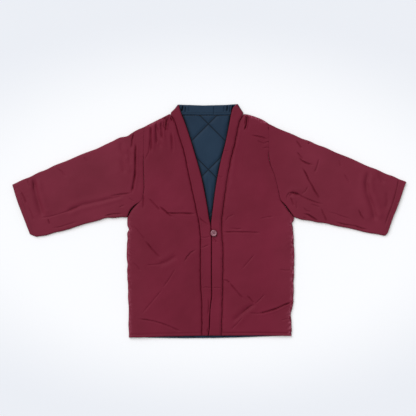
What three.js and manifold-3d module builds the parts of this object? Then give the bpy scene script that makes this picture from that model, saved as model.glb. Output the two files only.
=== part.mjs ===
// Hanten jacket in light wadded cloth, buttoned and laid flat on its back. Millimetres, +Z up.
// X runs from the wearer's right cuff to the left one, Y from the hem to the neck.
import * as THREE from 'three';
import { mergeVertices } from 'three/addons/utils/BufferGeometryUtils.js';
import Module from 'manifold-3d';

const wasm = await Module();
wasm.setup();

// Thickness of each cloth, and the height at which each layer starts
const seamGap = 0.3;
const backWall = 3.2;
const liningWall = 1.5;
const quiltPuff = 1.8;
const frontWall = 4.2;
const frontPuff = 2.4;
const bandWall = 5.6;
const sleeveWall = 3.4;
const sleevePuff = 2.6;
const cuffThickness = 8.6;
const liningFloor = backWall + seamGap;
const frontFloor = liningFloor + liningWall + quiltPuff + seamGap;

// Lengths along the body
const hemY = -407;
const frontHemY = -394;
const backNeckY = 368.4;
const hemEaseLength = 110;

// Soft edges
const rimRadius = 7;
const rimSteps = [0, 0.12, 0.45, 1];
const seamDip = 1.3;
const seamDipWidth = 7;
const overlapWidth = 11;
const crownReach = 60;
const leastRise = 0.4;
const edgeFace = 1;
const liningInset = 17;
const liningShoulderDrop = 42;
const liningHalfWidth = 300;
const shoulderTuck = 4;

// Quilting of the lining: half a diamond each way, and the place of one crossing
const diamondHalf = 80;
const diamondCells = 4;
const crossing = { x: -3, y: 338 };
const stitchPull = 12;

// How many cells each cloth is cut into
const frontColumns = 14;
const backColumns = 2;
const backRowStep = 38;
const bodyRowStep = 15;
const bandColumns = 3;
const bandRowStep = 27;
const sleeveColumns = 13;
const neckColumns = 8;
const sleeveRim = [0, 0.01, 0.032];
const sleeveRimRise = [0.45, 0.86, 1];
const sleeveSections = [0, 0.02, 0.045, 0.075, 0.11, 0.15, 0.2];
const sleeveSectionStep = 0.05;
const innerEvery = 5;

const wine = 0x702637;
const wineLight = 0x742b3a;
const navy = 0x283a4d;

// Each side of the body. The side seam and shoulder read x by y, from the hem up.
const wearersRight = {
  outward: -1,
  side: [
    { y: -407, x: -280 },
    { y: -290, x: -282 },
    { y: -110, x: -287 },
    { y: -14, x: -285 },
    { y: 11, x: -286 },
  ],
  armhole: [
    { x: -228, y: 328 },
    { x: -230, y: 264 },
    { x: -230, y: 199 },
    { x: -228, y: 119 },
    { x: -237, y: 77 },
    { x: -259, y: 57 },
    { x: -275, y: 38 },
    { x: -286, y: 11 },
  ],
  shoulder: [
    { y: 328, x: -228 },
    { y: 375, x: -135 },
  ],
  sleeveTop: [
    { x: -228, y: 328 },
    { x: -267, y: 310 },
    { x: -361, y: 268 },
    { x: -529, y: 198 },
    { x: -689.5, y: 126 },
  ],
  sleeveBottom: [
    { x: -286, y: 11 },
    { x: -357, y: 8 },
    { x: -382, y: 2 },
    { x: -530, y: -41 },
    { x: -606, y: -58 },
    { x: -627, y: -49 },
  ],
  cuff: [
    { x: -689.5, y: 126 },
    { x: -673, y: 72 },
    { x: -652, y: 16 },
    { x: -627, y: -49 },
  ],
};

const wearersLeft = {
  outward: 1,
  side: [
    { y: -407, x: 287 },
    { y: -334, x: 286 },
    { y: -290, x: 292 },
    { y: -110, x: 296 },
    { y: -14, x: 291 },
    { y: 11, x: 297 },
  ],
  armhole: [
    { x: 208, y: 339 },
    { x: 208, y: 282 },
    { x: 208, y: 229 },
    { x: 213, y: 199 },
    { x: 228, y: 159 },
    { x: 243, y: 99 },
    { x: 253, y: 75 },
    { x: 269, y: 56 },
    { x: 282, y: 37 },
    { x: 297, y: 11 },
  ],
  shoulder: [
    { y: 339, x: 208 },
    { y: 352, x: 188 },
    { y: 366, x: 153 },
    { y: 375, x: 119 },
  ],
  sleeveTop: [
    { x: 208, y: 339 },
    { x: 272, y: 310 },
    { x: 409, y: 254 },
    { x: 573, y: 184 },
    { x: 689.5, y: 127 },
  ],
  sleeveBottom: [
    { x: 297, y: 11 },
    { x: 321, y: 4 },
    { x: 412, y: -12 },
    { x: 542, y: -40 },
    { x: 613, y: -53 },
    { x: 624, y: -45 },
  ],
  cuff: [
    { x: 689.5, y: 127 },
    { x: 680, y: 107 },
    { x: 661, y: 54 },
    { x: 641, y: 5 },
    { x: 624, y: -45 },
  ],
};

// Collar band along each front: its seam to the front, and its free edge, from the hem to the shoulder
const bandRight = [
  { y: -394, seam: -25, edge: -4 },
  { y: -369, seam: -25, edge: -1 },
  { y: -311, seam: -25, edge: 1 },
  { y: -259, seam: -27, edge: 9 },
  { y: -212, seam: -30, edge: 8 },
  { y: -61, seam: -30, edge: 8 },
  { y: -37, seam: -32, edge: 7 },
  { y: -11, seam: -35, edge: 4 },
  { y: 4, seam: -38, edge: 0 },
  { y: 49, seam: -47, edge: -7 },
  { y: 154, seam: -70, edge: -25 },
  { y: 249, seam: -90, edge: -55 },
  { y: 282, seam: -101, edge: -65 },
  { y: 357, seam: -125, edge: -91 },
  { y: 363, seam: -130, edge: -94 },
  { y: 375, seam: -135, edge: -98 },
  { y: 390, seam: -121, edge: -103 },
  { y: 404, seam: -109, edge: -106 },
];
const bandLeft = [
  { y: -394, seam: 42, edge: -4 },
  { y: -369, seam: 43, edge: -1 },
  { y: -311, seam: 45, edge: 1 },
  { y: -259, seam: 46, edge: 9 },
  { y: -212, seam: 47, edge: 8 },
  { y: -101, seam: 48, edge: 8 },
  { y: -61, seam: 45, edge: 8 },
  { y: -37, seam: 43, edge: 7 },
  { y: -11, seam: 43, edge: 6 },
  { y: 14, seam: 45, edge: 9 },
  { y: 114, seam: 58, edge: 22 },
  { y: 199, seam: 72, edge: 38 },
  { y: 274, seam: 90, edge: 57 },
  { y: 344, seam: 105, edge: 71 },
  { y: 375, seam: 119, edge: 77 },
  { y: 391, seam: 108, edge: 81 },
  { y: 407, seam: 98, edge: 94 },
];

// Back neck stretch of the band, by y: it ends at the folds over the shoulders
const neckBand = [
  { y: 368.8, left: -131, right: 115 },
  { y: 375, left: -134, right: 118 },
  { y: 390, left: -121, right: 109 },
  { y: 401, left: -111, right: 101 },
];
const neckBandRise = [
  { x: -111, rise: 3 },
  { x: -20, rise: 0 },
  { x: 60, rise: 2 },
  { x: 101, rise: 5 },
];

// How far each hem hangs above or below its straight line
const backHemEase = [
  { x: -287, ease: 0 },
  { x: 120, ease: 0 },
  { x: 297, ease: 7 },
];
const frontHemEase = [
  { x: -287, ease: -9 },
  { x: -200, ease: -4 },
  { x: -120, ease: 0 },
  { x: 60, ease: 1 },
  { x: 230, ease: 1 },
  { x: 297, ease: 5 },
];

// The largest folds: a soft trough (depth) or ridge (negative depth) along each line
const foldsFrontRight = [
  { x1: -207, y1: 74, x2: -115, y2: -6, width: 15, depth: 2.2 },
  { x1: -145, y1: 24, x2: -50, y2: 22, width: 12, depth: 1.5 },
  { x1: -235, y1: -71, x2: -175, y2: -126, width: 15, depth: 1.8 },
  { x1: -215, y1: -156, x2: -125, y2: -136, width: 14, depth: 1.8 },
  { x1: -125, y1: -191, x2: -235, y2: -326, width: 16, depth: 1.4 },
  { x1: -245, y1: -346, x2: -95, y2: -381, width: 14, depth: 1.7 },
  { x1: -152, y1: 350, x2: -152, y2: 305, width: 10, depth: 2 },
  { x1: -180, y1: 319, x2: -180, y2: 264, width: 12, depth: 1.6 },
];
const foldsFrontLeft = [
  { x1: 83, y1: -28, x2: 167, y2: -26, width: 13, depth: 2 },
  { x1: 112, y1: -176, x2: 188, y2: -106, width: 15, depth: 1.5 },
  { x1: 58, y1: -211, x2: 118, y2: -271, width: 14, depth: 1.8 },
  { x1: 138, y1: -266, x2: 162, y2: -296, width: 13, depth: 1.8 },
  { x1: 162, y1: -296, x2: 208, y2: -251, width: 13, depth: 1.8 },
  { x1: 280, y1: -286, x2: 248, y2: -306, width: 14, depth: 2.4 },
  { x1: 248, y1: -306, x2: 158, y2: -326, width: 14, depth: 2.4 },
  { x1: 148, y1: -306, x2: 78, y2: -356, width: 14, depth: 1.5 },
  { x1: 130, y1: 352, x2: 127, y2: 310, width: 10, depth: 1.8 },
];
const foldsSleeveRight = [
  { x1: -262, y1: 299, x2: -269, y2: 250, width: 9, depth: 3.4 },
  { x1: -269, y1: 250, x2: -259, y2: 189, width: 9, depth: 3.4 },
  { x1: -259, y1: 189, x2: -262, y2: 139, width: 9, depth: 3.4 },
  { x1: -262, y1: 139, x2: -275, y2: 99, width: 9, depth: 3.4 },
  { x1: -246, y1: 290, x2: -246, y2: 120, width: 10, depth: -1.6 },
  { x1: -270, y1: 96, x2: -395, y2: 67, width: 14, depth: 3 },
  { x1: -395, y1: 67, x2: -525, y2: 22, width: 14, depth: 2.6 },
  { x1: -525, y1: 22, x2: -590, y2: 8, width: 14, depth: 2 },
  { x1: -615, y1: 144, x2: -595, y2: 14, width: 16, depth: 1.6 },
];
const foldsSleeveLeft = [
  { x1: 288, y1: 97, x2: 318, y2: 89, width: 12, depth: 2.6 },
  { x1: 318, y1: 89, x2: 393, y2: 54, width: 12, depth: 2.4 },
  { x1: 393, y1: 54, x2: 488, y2: 14, width: 12, depth: 1.8 },
  { x1: 308, y1: 254, x2: 313, y2: 229, width: 12, depth: 1.8 },
  { x1: 313, y1: 229, x2: 358, y2: 194, width: 12, depth: 1.8 },
  { x1: 328, y1: 184, x2: 388, y2: 79, width: 13, depth: 1.8 },
  { x1: 553, y1: 154, x2: 548, y2: 79, width: 16, depth: 1.8 },
  { x1: 548, y1: 79, x2: 573, y2: 14, width: 16, depth: 1.8 },
  { x1: 655, y1: 119, x2: 613, y2: -11, width: 13, depth: 1.8 },
];

// Underarm slit between the front and the sleeve's upper layer
const slitStart = 0.78;
const slitWidth = 9;
const slitFade = 60;

// Button and its loop
const button = {
  x: 15.5,
  y: -44,
  radius: 11,
  height: 4.2,
  dish: 1.3,
  rim: 2.2,
  holeRadius: 1,
  holeSpacing: 2,
};
const buttonSegments = 28;
const holeSegments = 8;
const loop = {
  cordRadius: 1.2,
  from: 5.5,
  reach: 13.5,
  halfWidth: 6.5,
  drop: 1.3,
  sides: 3,
  steps: 14,
};

// Reading a table in straight lines between its rows
function read(table, by, at, column) {
  const last = table.length - 1;
  const rising = table[last][by] > table[0][by];
  let row = 0;
  while (row < last - 1 && (rising ? table[row + 1][by] < at : table[row + 1][by] > at)) row += 1;
  const from = table[row];
  const to = table[row + 1];
  const part = THREE.MathUtils.clamp((at - from[by]) / (to[by] - from[by]), 0, 1);
  return THREE.MathUtils.lerp(from[column], to[column], part);
}

// Reading a table in a smooth line that never runs past its rows, as a cut edge does
function readSmooth(table, by, at, column) {
  const slopeAfter = (row) => {
    const [from, to] = [table[row], table[row + 1]];
    return (to[column] - from[column]) / (to[by] - from[by]);
  };
  const last = table.length - 1;
  let row = 0;
  while (row < last - 1 && table[row + 1][by] < at) row += 1;
  const slopeAt = (i) => {
    if (i === 0) return slopeAfter(0);
    if (i === last) return slopeAfter(last - 1);
    const before = slopeAfter(i - 1);
    const after = slopeAfter(i);
    return before * after <= 0 ? 0 : (2 * before * after) / (before + after);
  };
  const span = table[row + 1][by] - table[row][by];
  const t = THREE.MathUtils.clamp((at - table[row][by]) / span, 0, 1);
  const ease = t * t * (3 - 2 * t);
  const start = table[row][column];
  const bend = t * (1 - t) * span * ((1 - t) * slopeAt(row) - t * slopeAt(row + 1));
  return THREE.MathUtils.lerp(start, table[row + 1][column], ease) + bend;
}

// A smooth open line through a table's points
function cutLine(table) {
  const points = table.map(({ x, y }) => new THREE.Vector3(x, y, 0));
  return new THREE.CatmullRomCurve3(points, false, 'centripetal');
}

function distanceToStretch(x, y, fold) {
  const dx = fold.x2 - fold.x1;
  const dy = fold.y2 - fold.y1;
  const part = ((x - fold.x1) * dx + (y - fold.y1) * dy) / (dx * dx + dy * dy);
  const near = THREE.MathUtils.clamp(part, 0, 1);
  return Math.hypot(x - fold.x1 - near * dx, y - fold.y1 - near * dy);
}

// Height that the folds take from a surface at one place
function foldDepth(folds, x, y) {
  return folds.reduce((sum, fold) => {
    const away = distanceToStretch(x, y, fold) / fold.width;
    return sum + fold.depth * Math.exp(-away * away);
  }, 0);
}

// Quarter-round rise from an edge: 0 at the edge, 1 from the rim radius inwards
function roundRise(distance, radius) {
  const short = 1 - THREE.MathUtils.clamp(distance / radius, 0, 1);
  return Math.sqrt(1 - short * short);
}

// The seam stations down an armhole, shared by the sleeve and the body so that both follow one line
const rimEnd = sleeveRim[sleeveRim.length - 1];
const stations = [
  ...sleeveRim.slice(0, -1),
  ...Array.from({ length: sleeveColumns + 1 }, (_, i) => rimEnd + ((1 - 2 * rimEnd) * i) / sleeveColumns),
  ...sleeveRim.slice(0, -1).map((part) => 1 - part).reverse(),
];
for (const half of [wearersRight, wearersLeft]) {
  half.armholeLine = cutLine(half.armhole);
  half.seam = stations.map((part) => half.armholeLine.getPointAt(part));
  half.upper = [...half.seam.slice().reverse(), ...half.shoulder.slice(1)];
  half.underarmY = half.side[half.side.length - 1].y;
  half.shoulderY = half.shoulder[0].y;
  half.outlineRows = [...half.side, ...half.upper].map((point) => point.y);
}

function isSeamRow(half, y) {
  return y > half.underarmY && y < half.shoulderY;
}

// Where the body's outline stands in a row: side seam, then armhole, then shoulder
function outlineX(half, y) {
  return y <= half.underarmY ? readSmooth(half.side, 'y', y, 'x') : read(half.upper, 'y', y, 'x');
}

// How far that outline leans, so that a soft rim keeps its width on a slope
function edgeLean(half, y) {
  return Math.hypot(1, (outlineX(half, y + 1) - outlineX(half, y - 1)) / 2);
}

// Rows from one y to another, no further apart than the step, with the given rows kept
function rowsThrough(kept, step) {
  const sorted = [...new Set(kept)].sort((a, b) => a - b);
  return sorted.slice(1).reduce((rows, y, i) => {
    const count = Math.max(1, Math.round((y - sorted[i]) / step));
    for (let k = 1; k <= count; k += 1) rows.push(sorted[i] + ((y - sorted[i]) * k) / count);
    return rows;
  }, [sorted[0]]);
}

// A band's edges as a run of short straight stretches, which the band and its front both keep to
function fineBand(table) {
  return rowsThrough(table.map((row) => row.y), bandRowStep).map((y) => ({
    y,
    seam: readSmooth(table, 'y', y, 'seam'),
    edge: readSmooth(table, 'y', y, 'edge'),
  }));
}

// Places across a row: close together in each soft rim, even between
function placesAcross(from, to, count, rimFrom, rimTo) {
  const most = (to - from) * 0.3;
  const left = Math.min(rimFrom, most);
  const right = Math.min(rimTo, most);
  const start = from + left;
  const end = to - right;
  return [
    ...rimSteps.slice(0, -1).map((part) => from + part * left),
    ...Array.from({ length: count + 1 }, (_, i) => start + ((end - start) * i) / count),
    ...rimSteps.slice(0, -1).map((part) => to - part * right).reverse(),
  ];
}

// One closed body from points and triangles, with shared corners merged and empty triangles left out
function closedGeometry(points, triangles) {
  const loose = new THREE.BufferGeometry();
  loose.setAttribute('position', new THREE.Float32BufferAttribute(points.flat(), 3));
  loose.setIndex(triangles.flat());
  const merged = mergeVertices(loose, 1e-3);
  const index = Array.from(merged.index.array);
  const kept = [];
  for (let i = 0; i < index.length; i += 3) {
    const [a, b, c] = index.slice(i, i + 3);
    if (a !== b && b !== c && c !== a) kept.push(a, b, c);
  }
  merged.setIndex(kept);
  merged.computeVertexNormals();
  return merged;
}

// A cell of cloth between four corners, creased along its lower diagonal so that troughs run clean
function creasedCell(points, a, b, c, d) {
  const straight = points[a][2] + points[c][2] <= points[b][2] + points[d][2] + 1e-6;
  return straight ? [[a, b, c], [a, c, d]] : [[a, b, d], [b, c, d]];
}

// Triangles between two lines of points that start and end together
function zip(first, second, points) {
  const triangles = [];
  let i = 0;
  let j = 0;
  while (i < first.length - 1 || j < second.length - 1) {
    const nextFirst = i < first.length - 1 ? points[first[i + 1]][0] : Infinity;
    const nextSecond = j < second.length - 1 ? points[second[j + 1]][0] : Infinity;
    if (nextFirst <= nextSecond) {
      triangles.push([first[i], second[j], first[i + 1]]);
      i += 1;
    } else {
      triangles.push([first[i], second[j], second[j + 1]]);
      j += 1;
    }
  }
  return triangles;
}

// A cloth panel as rows of rings: each ring runs along the outer face and back along the inner one.
// A row gives its y, and the places across it on each face. The faces give a height at each place.
function panelGeometry({ rows, outerFace, innerFace, ease = () => 0 }) {
  const points = [];
  const triangles = [];
  const rings = rows.map((row) => {
    const put = (face) => (x) => points.push([x, row.y + ease(x, row.y), face(x, row.y)]) - 1;
    return { outer: row.outer.map(put(outerFace)), inner: row.inner.map(put(innerFace)) };
  });
  rings.slice(1).forEach((ring, r) => {
    const below = rings[r];
    const loopBelow = [...below.outer, ...below.inner.slice().reverse()];
    const loopAbove = [...ring.outer, ...ring.inner.slice().reverse()];
    loopBelow.forEach((_, i) => {
      const next = (i + 1) % loopBelow.length;
      triangles.push(...creasedCell(points, loopBelow[i], loopBelow[next], loopAbove[next], loopAbove[i]));
    });
  });
  const first = rings[0];
  const last = rings[rings.length - 1];
  triangles.push(...zip(first.outer, first.inner, points));
  triangles.push(...zip(last.outer, last.inner, points).map(([a, b, c]) => [a, c, b]));
  return closedGeometry(points, triangles);
}

// Rows close to a free hem, for its soft rim
function hemRows(y) {
  return rimSteps.map((part) => y + part * rimRadius);
}

// A body cloth's edge stands a seam's gap inside the armhole
function bodyEdge(half, y) {
  return outlineX(half, y) - half.outward * (isSeamRow(half, y) ? seamGap : 0);
}

function sideDistance(half, x, y) {
  return Math.abs(outlineX(half, y) - x) / edgeLean(half, y);
}

// Back: one flat cloth on the surface, its underside level
function backBody() {
  const kept = [
    ...hemRows(hemY),
    ...wearersRight.outlineRows,
    ...wearersLeft.outlineRows,
    backNeckY,
  ].filter((y) => y >= hemY && y <= backNeckY);
  const rows = rowsThrough(kept, backRowStep).map((y) => {
    const from = bodyEdge(wearersRight, y);
    const to = bodyEdge(wearersLeft, y);
    return { y, outer: placesAcross(from, to, backColumns, backWall, backWall), inner: [from, to] };
  });
  const rise = (x, y) => {
    const sides = [wearersRight, wearersLeft].map((half) =>
      isSeamRow(half, y) ? backWall : sideDistance(half, x, y));
    return roundRise(Math.min(...sides, y - hemY) + leastRise, backWall);
  };
  return panelGeometry({
    rows,
    outerFace: (x, y) => backWall * rise(x, y),
    innerFace: () => 0,
    ease: (x, y) => hemEase(backHemEase, hemY, x, y),
  });
}

function hemEase(table, level, x, y) {
  const part = THREE.MathUtils.clamp(1 - (y - level) / hemEaseLength, 0, 1);
  return read(table, 'x', x, 'ease') * part * part;
}

// Lining: diamond quilting stands up between lines of stitching that run both ways at 45 degrees
function quiltHeight(x, y) {
  const cell = diamondHalf * 2;
  const wrap = (value) => Math.abs(value - cell * Math.round(value / cell));
  const rising = wrap(x - crossing.x - (y - crossing.y));
  const falling = wrap(x - crossing.x + (y - crossing.y));
  const away = Math.min(rising, falling) / Math.SQRT2;
  return quiltPuff * (1 - Math.exp(-away / stitchPull));
}

// Places across the lining stand on the quilting's lattice; those past an edge close up onto it
function liningPlaces(from, to) {
  const step = diamondHalf / diamondCells;
  const reach = Math.floor((liningHalfWidth - Math.abs(crossing.x)) / step);
  const places = Array.from({ length: reach * 2 + 1 }, (_, i) => crossing.x + (i - reach) * step);
  return [from, ...places.map((x) => THREE.MathUtils.clamp(x, from, to)), to];
}

function backLining() {
  const top = backNeckY - seamGap;
  const bottom = hemY + seamGap * 3;
  const step = diamondHalf / diamondCells;
  const reach = Math.ceil((crossing.y - bottom) / step);
  const lattice = Array.from({ length: reach * 2 }, (_, i) => crossing.y + (i - reach) * step);
  const inside = lattice.filter((y) => y > bottom + step * 0.3 && y < top - step * 0.3);
  const rows = [bottom, ...inside, top].map((y) => {
    const shoulder = Math.min(y + liningShoulderDrop, top + 6);
    const edge = (half) => {
      const low = outlineX(half, y) - half.outward * liningInset;
      const high = outlineX(half, shoulder) - half.outward * liningInset;
      return Math.abs(high) < Math.abs(low) ? high : low;
    };
    const outer = liningPlaces(edge(wearersRight), edge(wearersLeft));
    return { y, outer, inner: [outer[0], (outer[0] + outer[outer.length - 1]) / 2, outer[outer.length - 1]] };
  });
  return panelGeometry({
    rows,
    outerFace: (x, y) => liningFloor + liningWall + quiltHeight(x, y),
    innerFace: () => liningFloor,
    ease: (x, y) => hemEase(backHemEase, hemY, x, y),
  });
}

// Front: full in the middle, rolled down to the back along the side and shoulder, pulled in at its seams
function frontGeometry(half, band, folds) {
  const neckY = half.shoulder[half.shoulder.length - 1].y;
  const kept = [
    ...hemRows(frontHemY),
    ...half.outlineRows,
    ...band.map((point) => point.y),
  ].filter((y) => y >= frontHemY && y < neckY - shoulderTuck);
  const merged = [...kept, neckY - shoulderTuck].sort((a, b) => a - b);
  const spaced = merged.filter((y, i) => i === 0 || y - merged[i - 1] > 0.5);
  const bandEdge = (y) => read(band, 'y', y, 'seam') + half.outward * seamGap;
  const rows = rowsThrough(spaced, bodyRowStep).map((y) => {
    const outline = bodyEdge(half, y);
    const lean = edgeLean(half, y);
    const rim = isSeamRow(half, y) ? seamDipWidth : rimRadius * lean;
    const ordered = half.outward < 0 ? [outline, bandEdge(y)] : [bandEdge(y), outline];
    const rims = half.outward < 0 ? [rim, seamDipWidth] : [seamDipWidth, rim];
    const outer = placesAcross(...ordered, frontColumns, ...rims);
    const turn = Math.min(overlapWidth * lean, (ordered[1] - ordered[0]) * 0.45);
    const fold = outline - half.outward * turn;
    const inner = [ordered[0], fold, ordered[1]];
    return { y, outer, inner };
  });
  const crown = (x, y) => {
    const toSide = sideDistance(half, x, y);
    const toBand = Math.abs(x - bandEdge(y));
    const toHem = y - frontHemY;
    const full = (away) => 1 - Math.exp(-away / crownReach);
    return frontPuff * full(toSide) * full(toBand) * full(toHem);
  };
  const outerFace = (x, y) => {
    const seamSide = isSeamRow(half, y);
    const toSide = seamSide ? rimRadius : sideDistance(half, x, y);
    const rise = roundRise(Math.min(toSide, y - frontHemY) + leastRise, rimRadius);
    const toSeam = Math.min(Math.abs(x - bandEdge(y)), seamSide ? sideDistance(half, x, y) : crownReach);
    const dip = seamDip * Math.exp(-toSeam / seamDipWidth);
    const flattened = Math.min(1, (toSeam * 2) / crownReach);
    const full = frontFloor + frontWall + crown(x, y) - dip - foldDepth(folds, x, y) * flattened;
    const low = edgeFace + (y - frontHemY < toSide ? frontFloor : liningFloor);
    return THREE.MathUtils.lerp(low, full, rise);
  };
  // The inner face turns down to the back only at the outline itself
  const innerFace = (x, y) => (x === bodyEdge(half, y) && !isSeamRow(half, y) ? liningFloor : frontFloor);
  return panelGeometry({
    rows,
    outerFace,
    innerFace,
    ease: (x, y) => hemEase(frontHemEase, frontHemY, x, y),
  });
}

// Collar band: two thicknesses of cloth, round on both edges
function bandGeometry(band, outward) {
  const bottom = band[0].y;
  const top = band[band.length - 1].y;
  const kept = [...hemRows(bottom), ...band.map((row) => row.y).filter((y) => y > bottom + rimRadius)];
  const edges = (y) => {
    const edge = read(band, 'y', y, 'edge') + (outward * seamGap) / 2;
    const seam = read(band, 'y', y, 'seam');
    return outward < 0 ? [seam, edge] : [edge, seam];
  };
  const rows = rowsThrough(kept, bandRowStep).map((y) => {
    const outer = placesAcross(...edges(y), bandColumns, rimRadius, rimRadius);
    return { y, outer, inner: [outer[0], outer[outer.length - 1]] };
  });
  const outerFace = (x, y) => {
    const [from, to] = edges(y);
    const inside = Math.min(x - from, to - x, y - bottom, top - y);
    return frontFloor + edgeFace + (bandWall - edgeFace) * roundRise(inside + leastRise, rimRadius);
  };
  return panelGeometry({
    rows,
    outerFace,
    innerFace: () => frontFloor,
    ease: (x, y) => hemEase(frontHemEase, frontHemY, x, y),
  });
}

// The band's stretch behind the neck lies on the surface with its inner side up
function neckBandGeometry() {
  const bottom = neckBand[0].y;
  const top = neckBand[neckBand.length - 1].y;
  const rimRows = rimSteps.slice(1, -1).map((part) => top - rimRadius * part);
  const kept = [...neckBand.map((row) => row.y), ...rimRows];
  const height = frontFloor - seamGap;
  const rows = rowsThrough(kept, bodyRowStep).map((y) => {
    const ends = [read(neckBand, 'y', y, 'left'), read(neckBand, 'y', y, 'right')];
    const outer = placesAcross(...ends, neckColumns, rimRadius, rimRadius);
    return { y, outer, inner: outer };
  });
  const rise = (x, y) => {
    const sides = Math.min(x - read(neckBand, 'y', y, 'left'), read(neckBand, 'y', y, 'right') - x);
    return roundRise(Math.min(sides, top - y, y - bottom + 2) + leastRise, rimRadius);
  };
  return panelGeometry({
    rows,
    outerFace: (x, y) => edgeFace + (height - edgeFace) * rise(x, y),
    innerFace: () => 0,
    ease: (x, y) => read(neckBandRise, 'x', x, 'rise') * Math.max(0, (y - bottom) / (top - bottom)),
  });
}

// Sleeve: one cloth folded at its top edge and closed below, a flat tube open at the cuff and at the armhole
function sleeveGeometry(half, folds) {
  const [topEdge, bottomEdge, cuff] = [half.sleeveTop, half.sleeveBottom, half.cuff].map(cutLine);
  const corners = {
    armTop: half.armholeLine.getPointAt(0),
    armBottom: half.armholeLine.getPointAt(1),
    cuffTop: cuff.getPointAt(0),
    cuffBottom: cuff.getPointAt(1),
  };
  // A place on the flat sleeve: s runs from armhole to cuff, v from its top edge to its bottom one
  const place = (s, v) => {
    const [a, c] = [half.armholeLine.getPointAt(v), cuff.getPointAt(v)];
    const [t, b] = [topEdge.getPointAt(s), bottomEdge.getPointAt(s)];
    const blend = (axis) =>
      (1 - s) * a[axis] + s * c[axis] + (1 - v) * t[axis] + v * b[axis] -
      (1 - s) * (1 - v) * corners.armTop[axis] - (1 - s) * v * corners.armBottom[axis] -
      s * (1 - v) * corners.cuffTop[axis] - s * v * corners.cuffBottom[axis];
    return { x: blend('x') + half.outward * seamGap * (1 - s), y: blend('y') };
  };
  const length = Math.hypot(corners.armTop.x - corners.cuffTop.x, corners.armTop.y - corners.cuffTop.y);
  const slit = (s, v) => {
    const open = THREE.MathUtils.clamp((v - slitStart) / (1 - slitStart), 0, 1);
    const fade = THREE.MathUtils.clamp(1 - (s * length) / slitFade, 0, 1);
    return half.outward * slitWidth * Math.sin(Math.PI * open) * fade;
  };
  const sections = [...sleeveSections];
  while (sections[sections.length - 1] < 1 - sleeveSectionStep * 0.5) {
    sections.push(Math.min(1, sections[sections.length - 1] + sleeveSectionStep));
  }
  sections[sections.length - 1] = 1;
  const armholeThickness = frontFloor + frontWall - seamDip * 0.6;
  const thickness = (s) => THREE.MathUtils.lerp(armholeThickness, cuffThickness, s);
  // Full along the middle, flatter towards the cuff, and held down where it is sewn to the body
  const puff = (s, v) => {
    const across = Math.sin(Math.PI * v) ** 0.7;
    const along = (1 - 0.6 * s) * (1 - Math.exp((-s * length) / crownReach));
    return sleevePuff * across * along;
  };
  const rimAt = (v) => {
    const index = sleeveRim.findIndex((part) => Math.abs(Math.min(v, 1 - v) - part) < 1e-6);
    return index < 0 ? 1 : sleeveRimRise[index];
  };
  const outerRing = (s) => {
    const upper = stations.map((v) => {
      const spot = place(s, v);
      const flattened = Math.min(1, v * 12, (1 - v) * 12);
      const full = thickness(s) + puff(s, v) - foldDepth(folds, spot.x, spot.y) * flattened;
      return [spot.x + slit(s, v), spot.y, rimAt(v) * full];
    });
    const lower = stations.slice(1, -1).reverse().map((v) => {
      const spot = place(s, v);
      return [spot.x, spot.y, rimAt(v) < 1 ? edgeFace : 0];
    });
    return [...upper, ...lower];
  };
  const innerRing = (s) => {
    const high = thickness(s) - sleeveWall;
    const middle = (high + sleeveWall) / 2;
    const inside = (v) => THREE.MathUtils.clamp(v, rimEnd, 1 - rimEnd);
    const level = (v, face) => {
      const part = Math.min(v, 1 - v) / rimEnd;
      return THREE.MathUtils.lerp(middle, face, Math.min(1, part));
    };
    const upper = stations.map((v) => {
      const spot = place(s, inside(v));
      return [spot.x + slit(s, inside(v)), spot.y, level(v, high)];
    });
    const lower = stations.slice(1, -1).reverse().map((v) => {
      const spot = place(s, inside(v));
      return [spot.x, spot.y, level(v, sleeveWall)];
    });
    return [...upper, ...lower];
  };
  const outer = sections.map(outerRing);
  const inner = sections.filter((s, i) => i % innerEvery === 0 || s === 1).map(innerRing);
  return tubeGeometry(outer, inner, half.outward);
}

// A tube with a wall: rings outside, fewer rings inside, and a flat strip joining them at each open end
function tubeGeometry(outer, inner, outward) {
  const size = outer[0].length;
  const points = [...outer.flat(), ...inner.flat()];
  const innerStart = outer.length * size;
  const triangles = [];
  const quad = (...corners) => triangles.push(...creasedCell(points, ...corners));
  for (let k = 0; k < size; k += 1) {
    const next = (k + 1) % size;
    for (let r = 0; r < outer.length - 1; r += 1) {
      quad(r * size + k, (r + 1) * size + k, (r + 1) * size + next, r * size + next);
    }
    for (let r = 0; r < inner.length - 1; r += 1) {
      const row = innerStart + r * size;
      quad(row + k, row + next, row + size + next, row + size + k);
    }
    quad(k, next, innerStart + next, innerStart + k);
    const lastOuter = (outer.length - 1) * size;
    const lastInner = innerStart + (inner.length - 1) * size;
    quad(lastOuter + k, lastInner + k, lastInner + next, lastOuter + next);
  }
  return closedGeometry(points, outward < 0 ? triangles : triangles.map(([a, b, c]) => [a, c, b]));
}

// Button: a turned disc with a raised rim, a dish and four holes
function buttonGeometry() {
  const { radius, height, dish, rim } = button;
  const profile = [
    [0, 0],
    [radius * 0.8, 0],
    [radius * 0.96, height * 0.28],
    [radius, height * 0.55],
    [radius - rim * 0.3, height * 0.9],
    [radius - rim * 0.8, height],
    [radius - rim * 1.4, height * 0.92],
    [radius - rim * 2, height - dish],
    [0, height - dish * 1.15],
  ].map(([r, z]) => new THREE.Vector2(r, z));
  const disc = asManifold(new THREE.LatheGeometry(profile, buttonSegments).rotateX(Math.PI / 2));
  const corners = [-1, 1].flatMap((x) => [-1, 1].map((y) => ({ x, y })));
  const drilled = corners.reduce((body, corner) => {
    const hole = new THREE.CylinderGeometry(button.holeRadius, button.holeRadius, height * 4, holeSegments);
    hole.rotateX(Math.PI / 2).translate(corner.x * button.holeSpacing, corner.y * button.holeSpacing, 0);
    return body.subtract(asManifold(hole));
  }, disc);
  return fromManifold(drilled);
}

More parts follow.
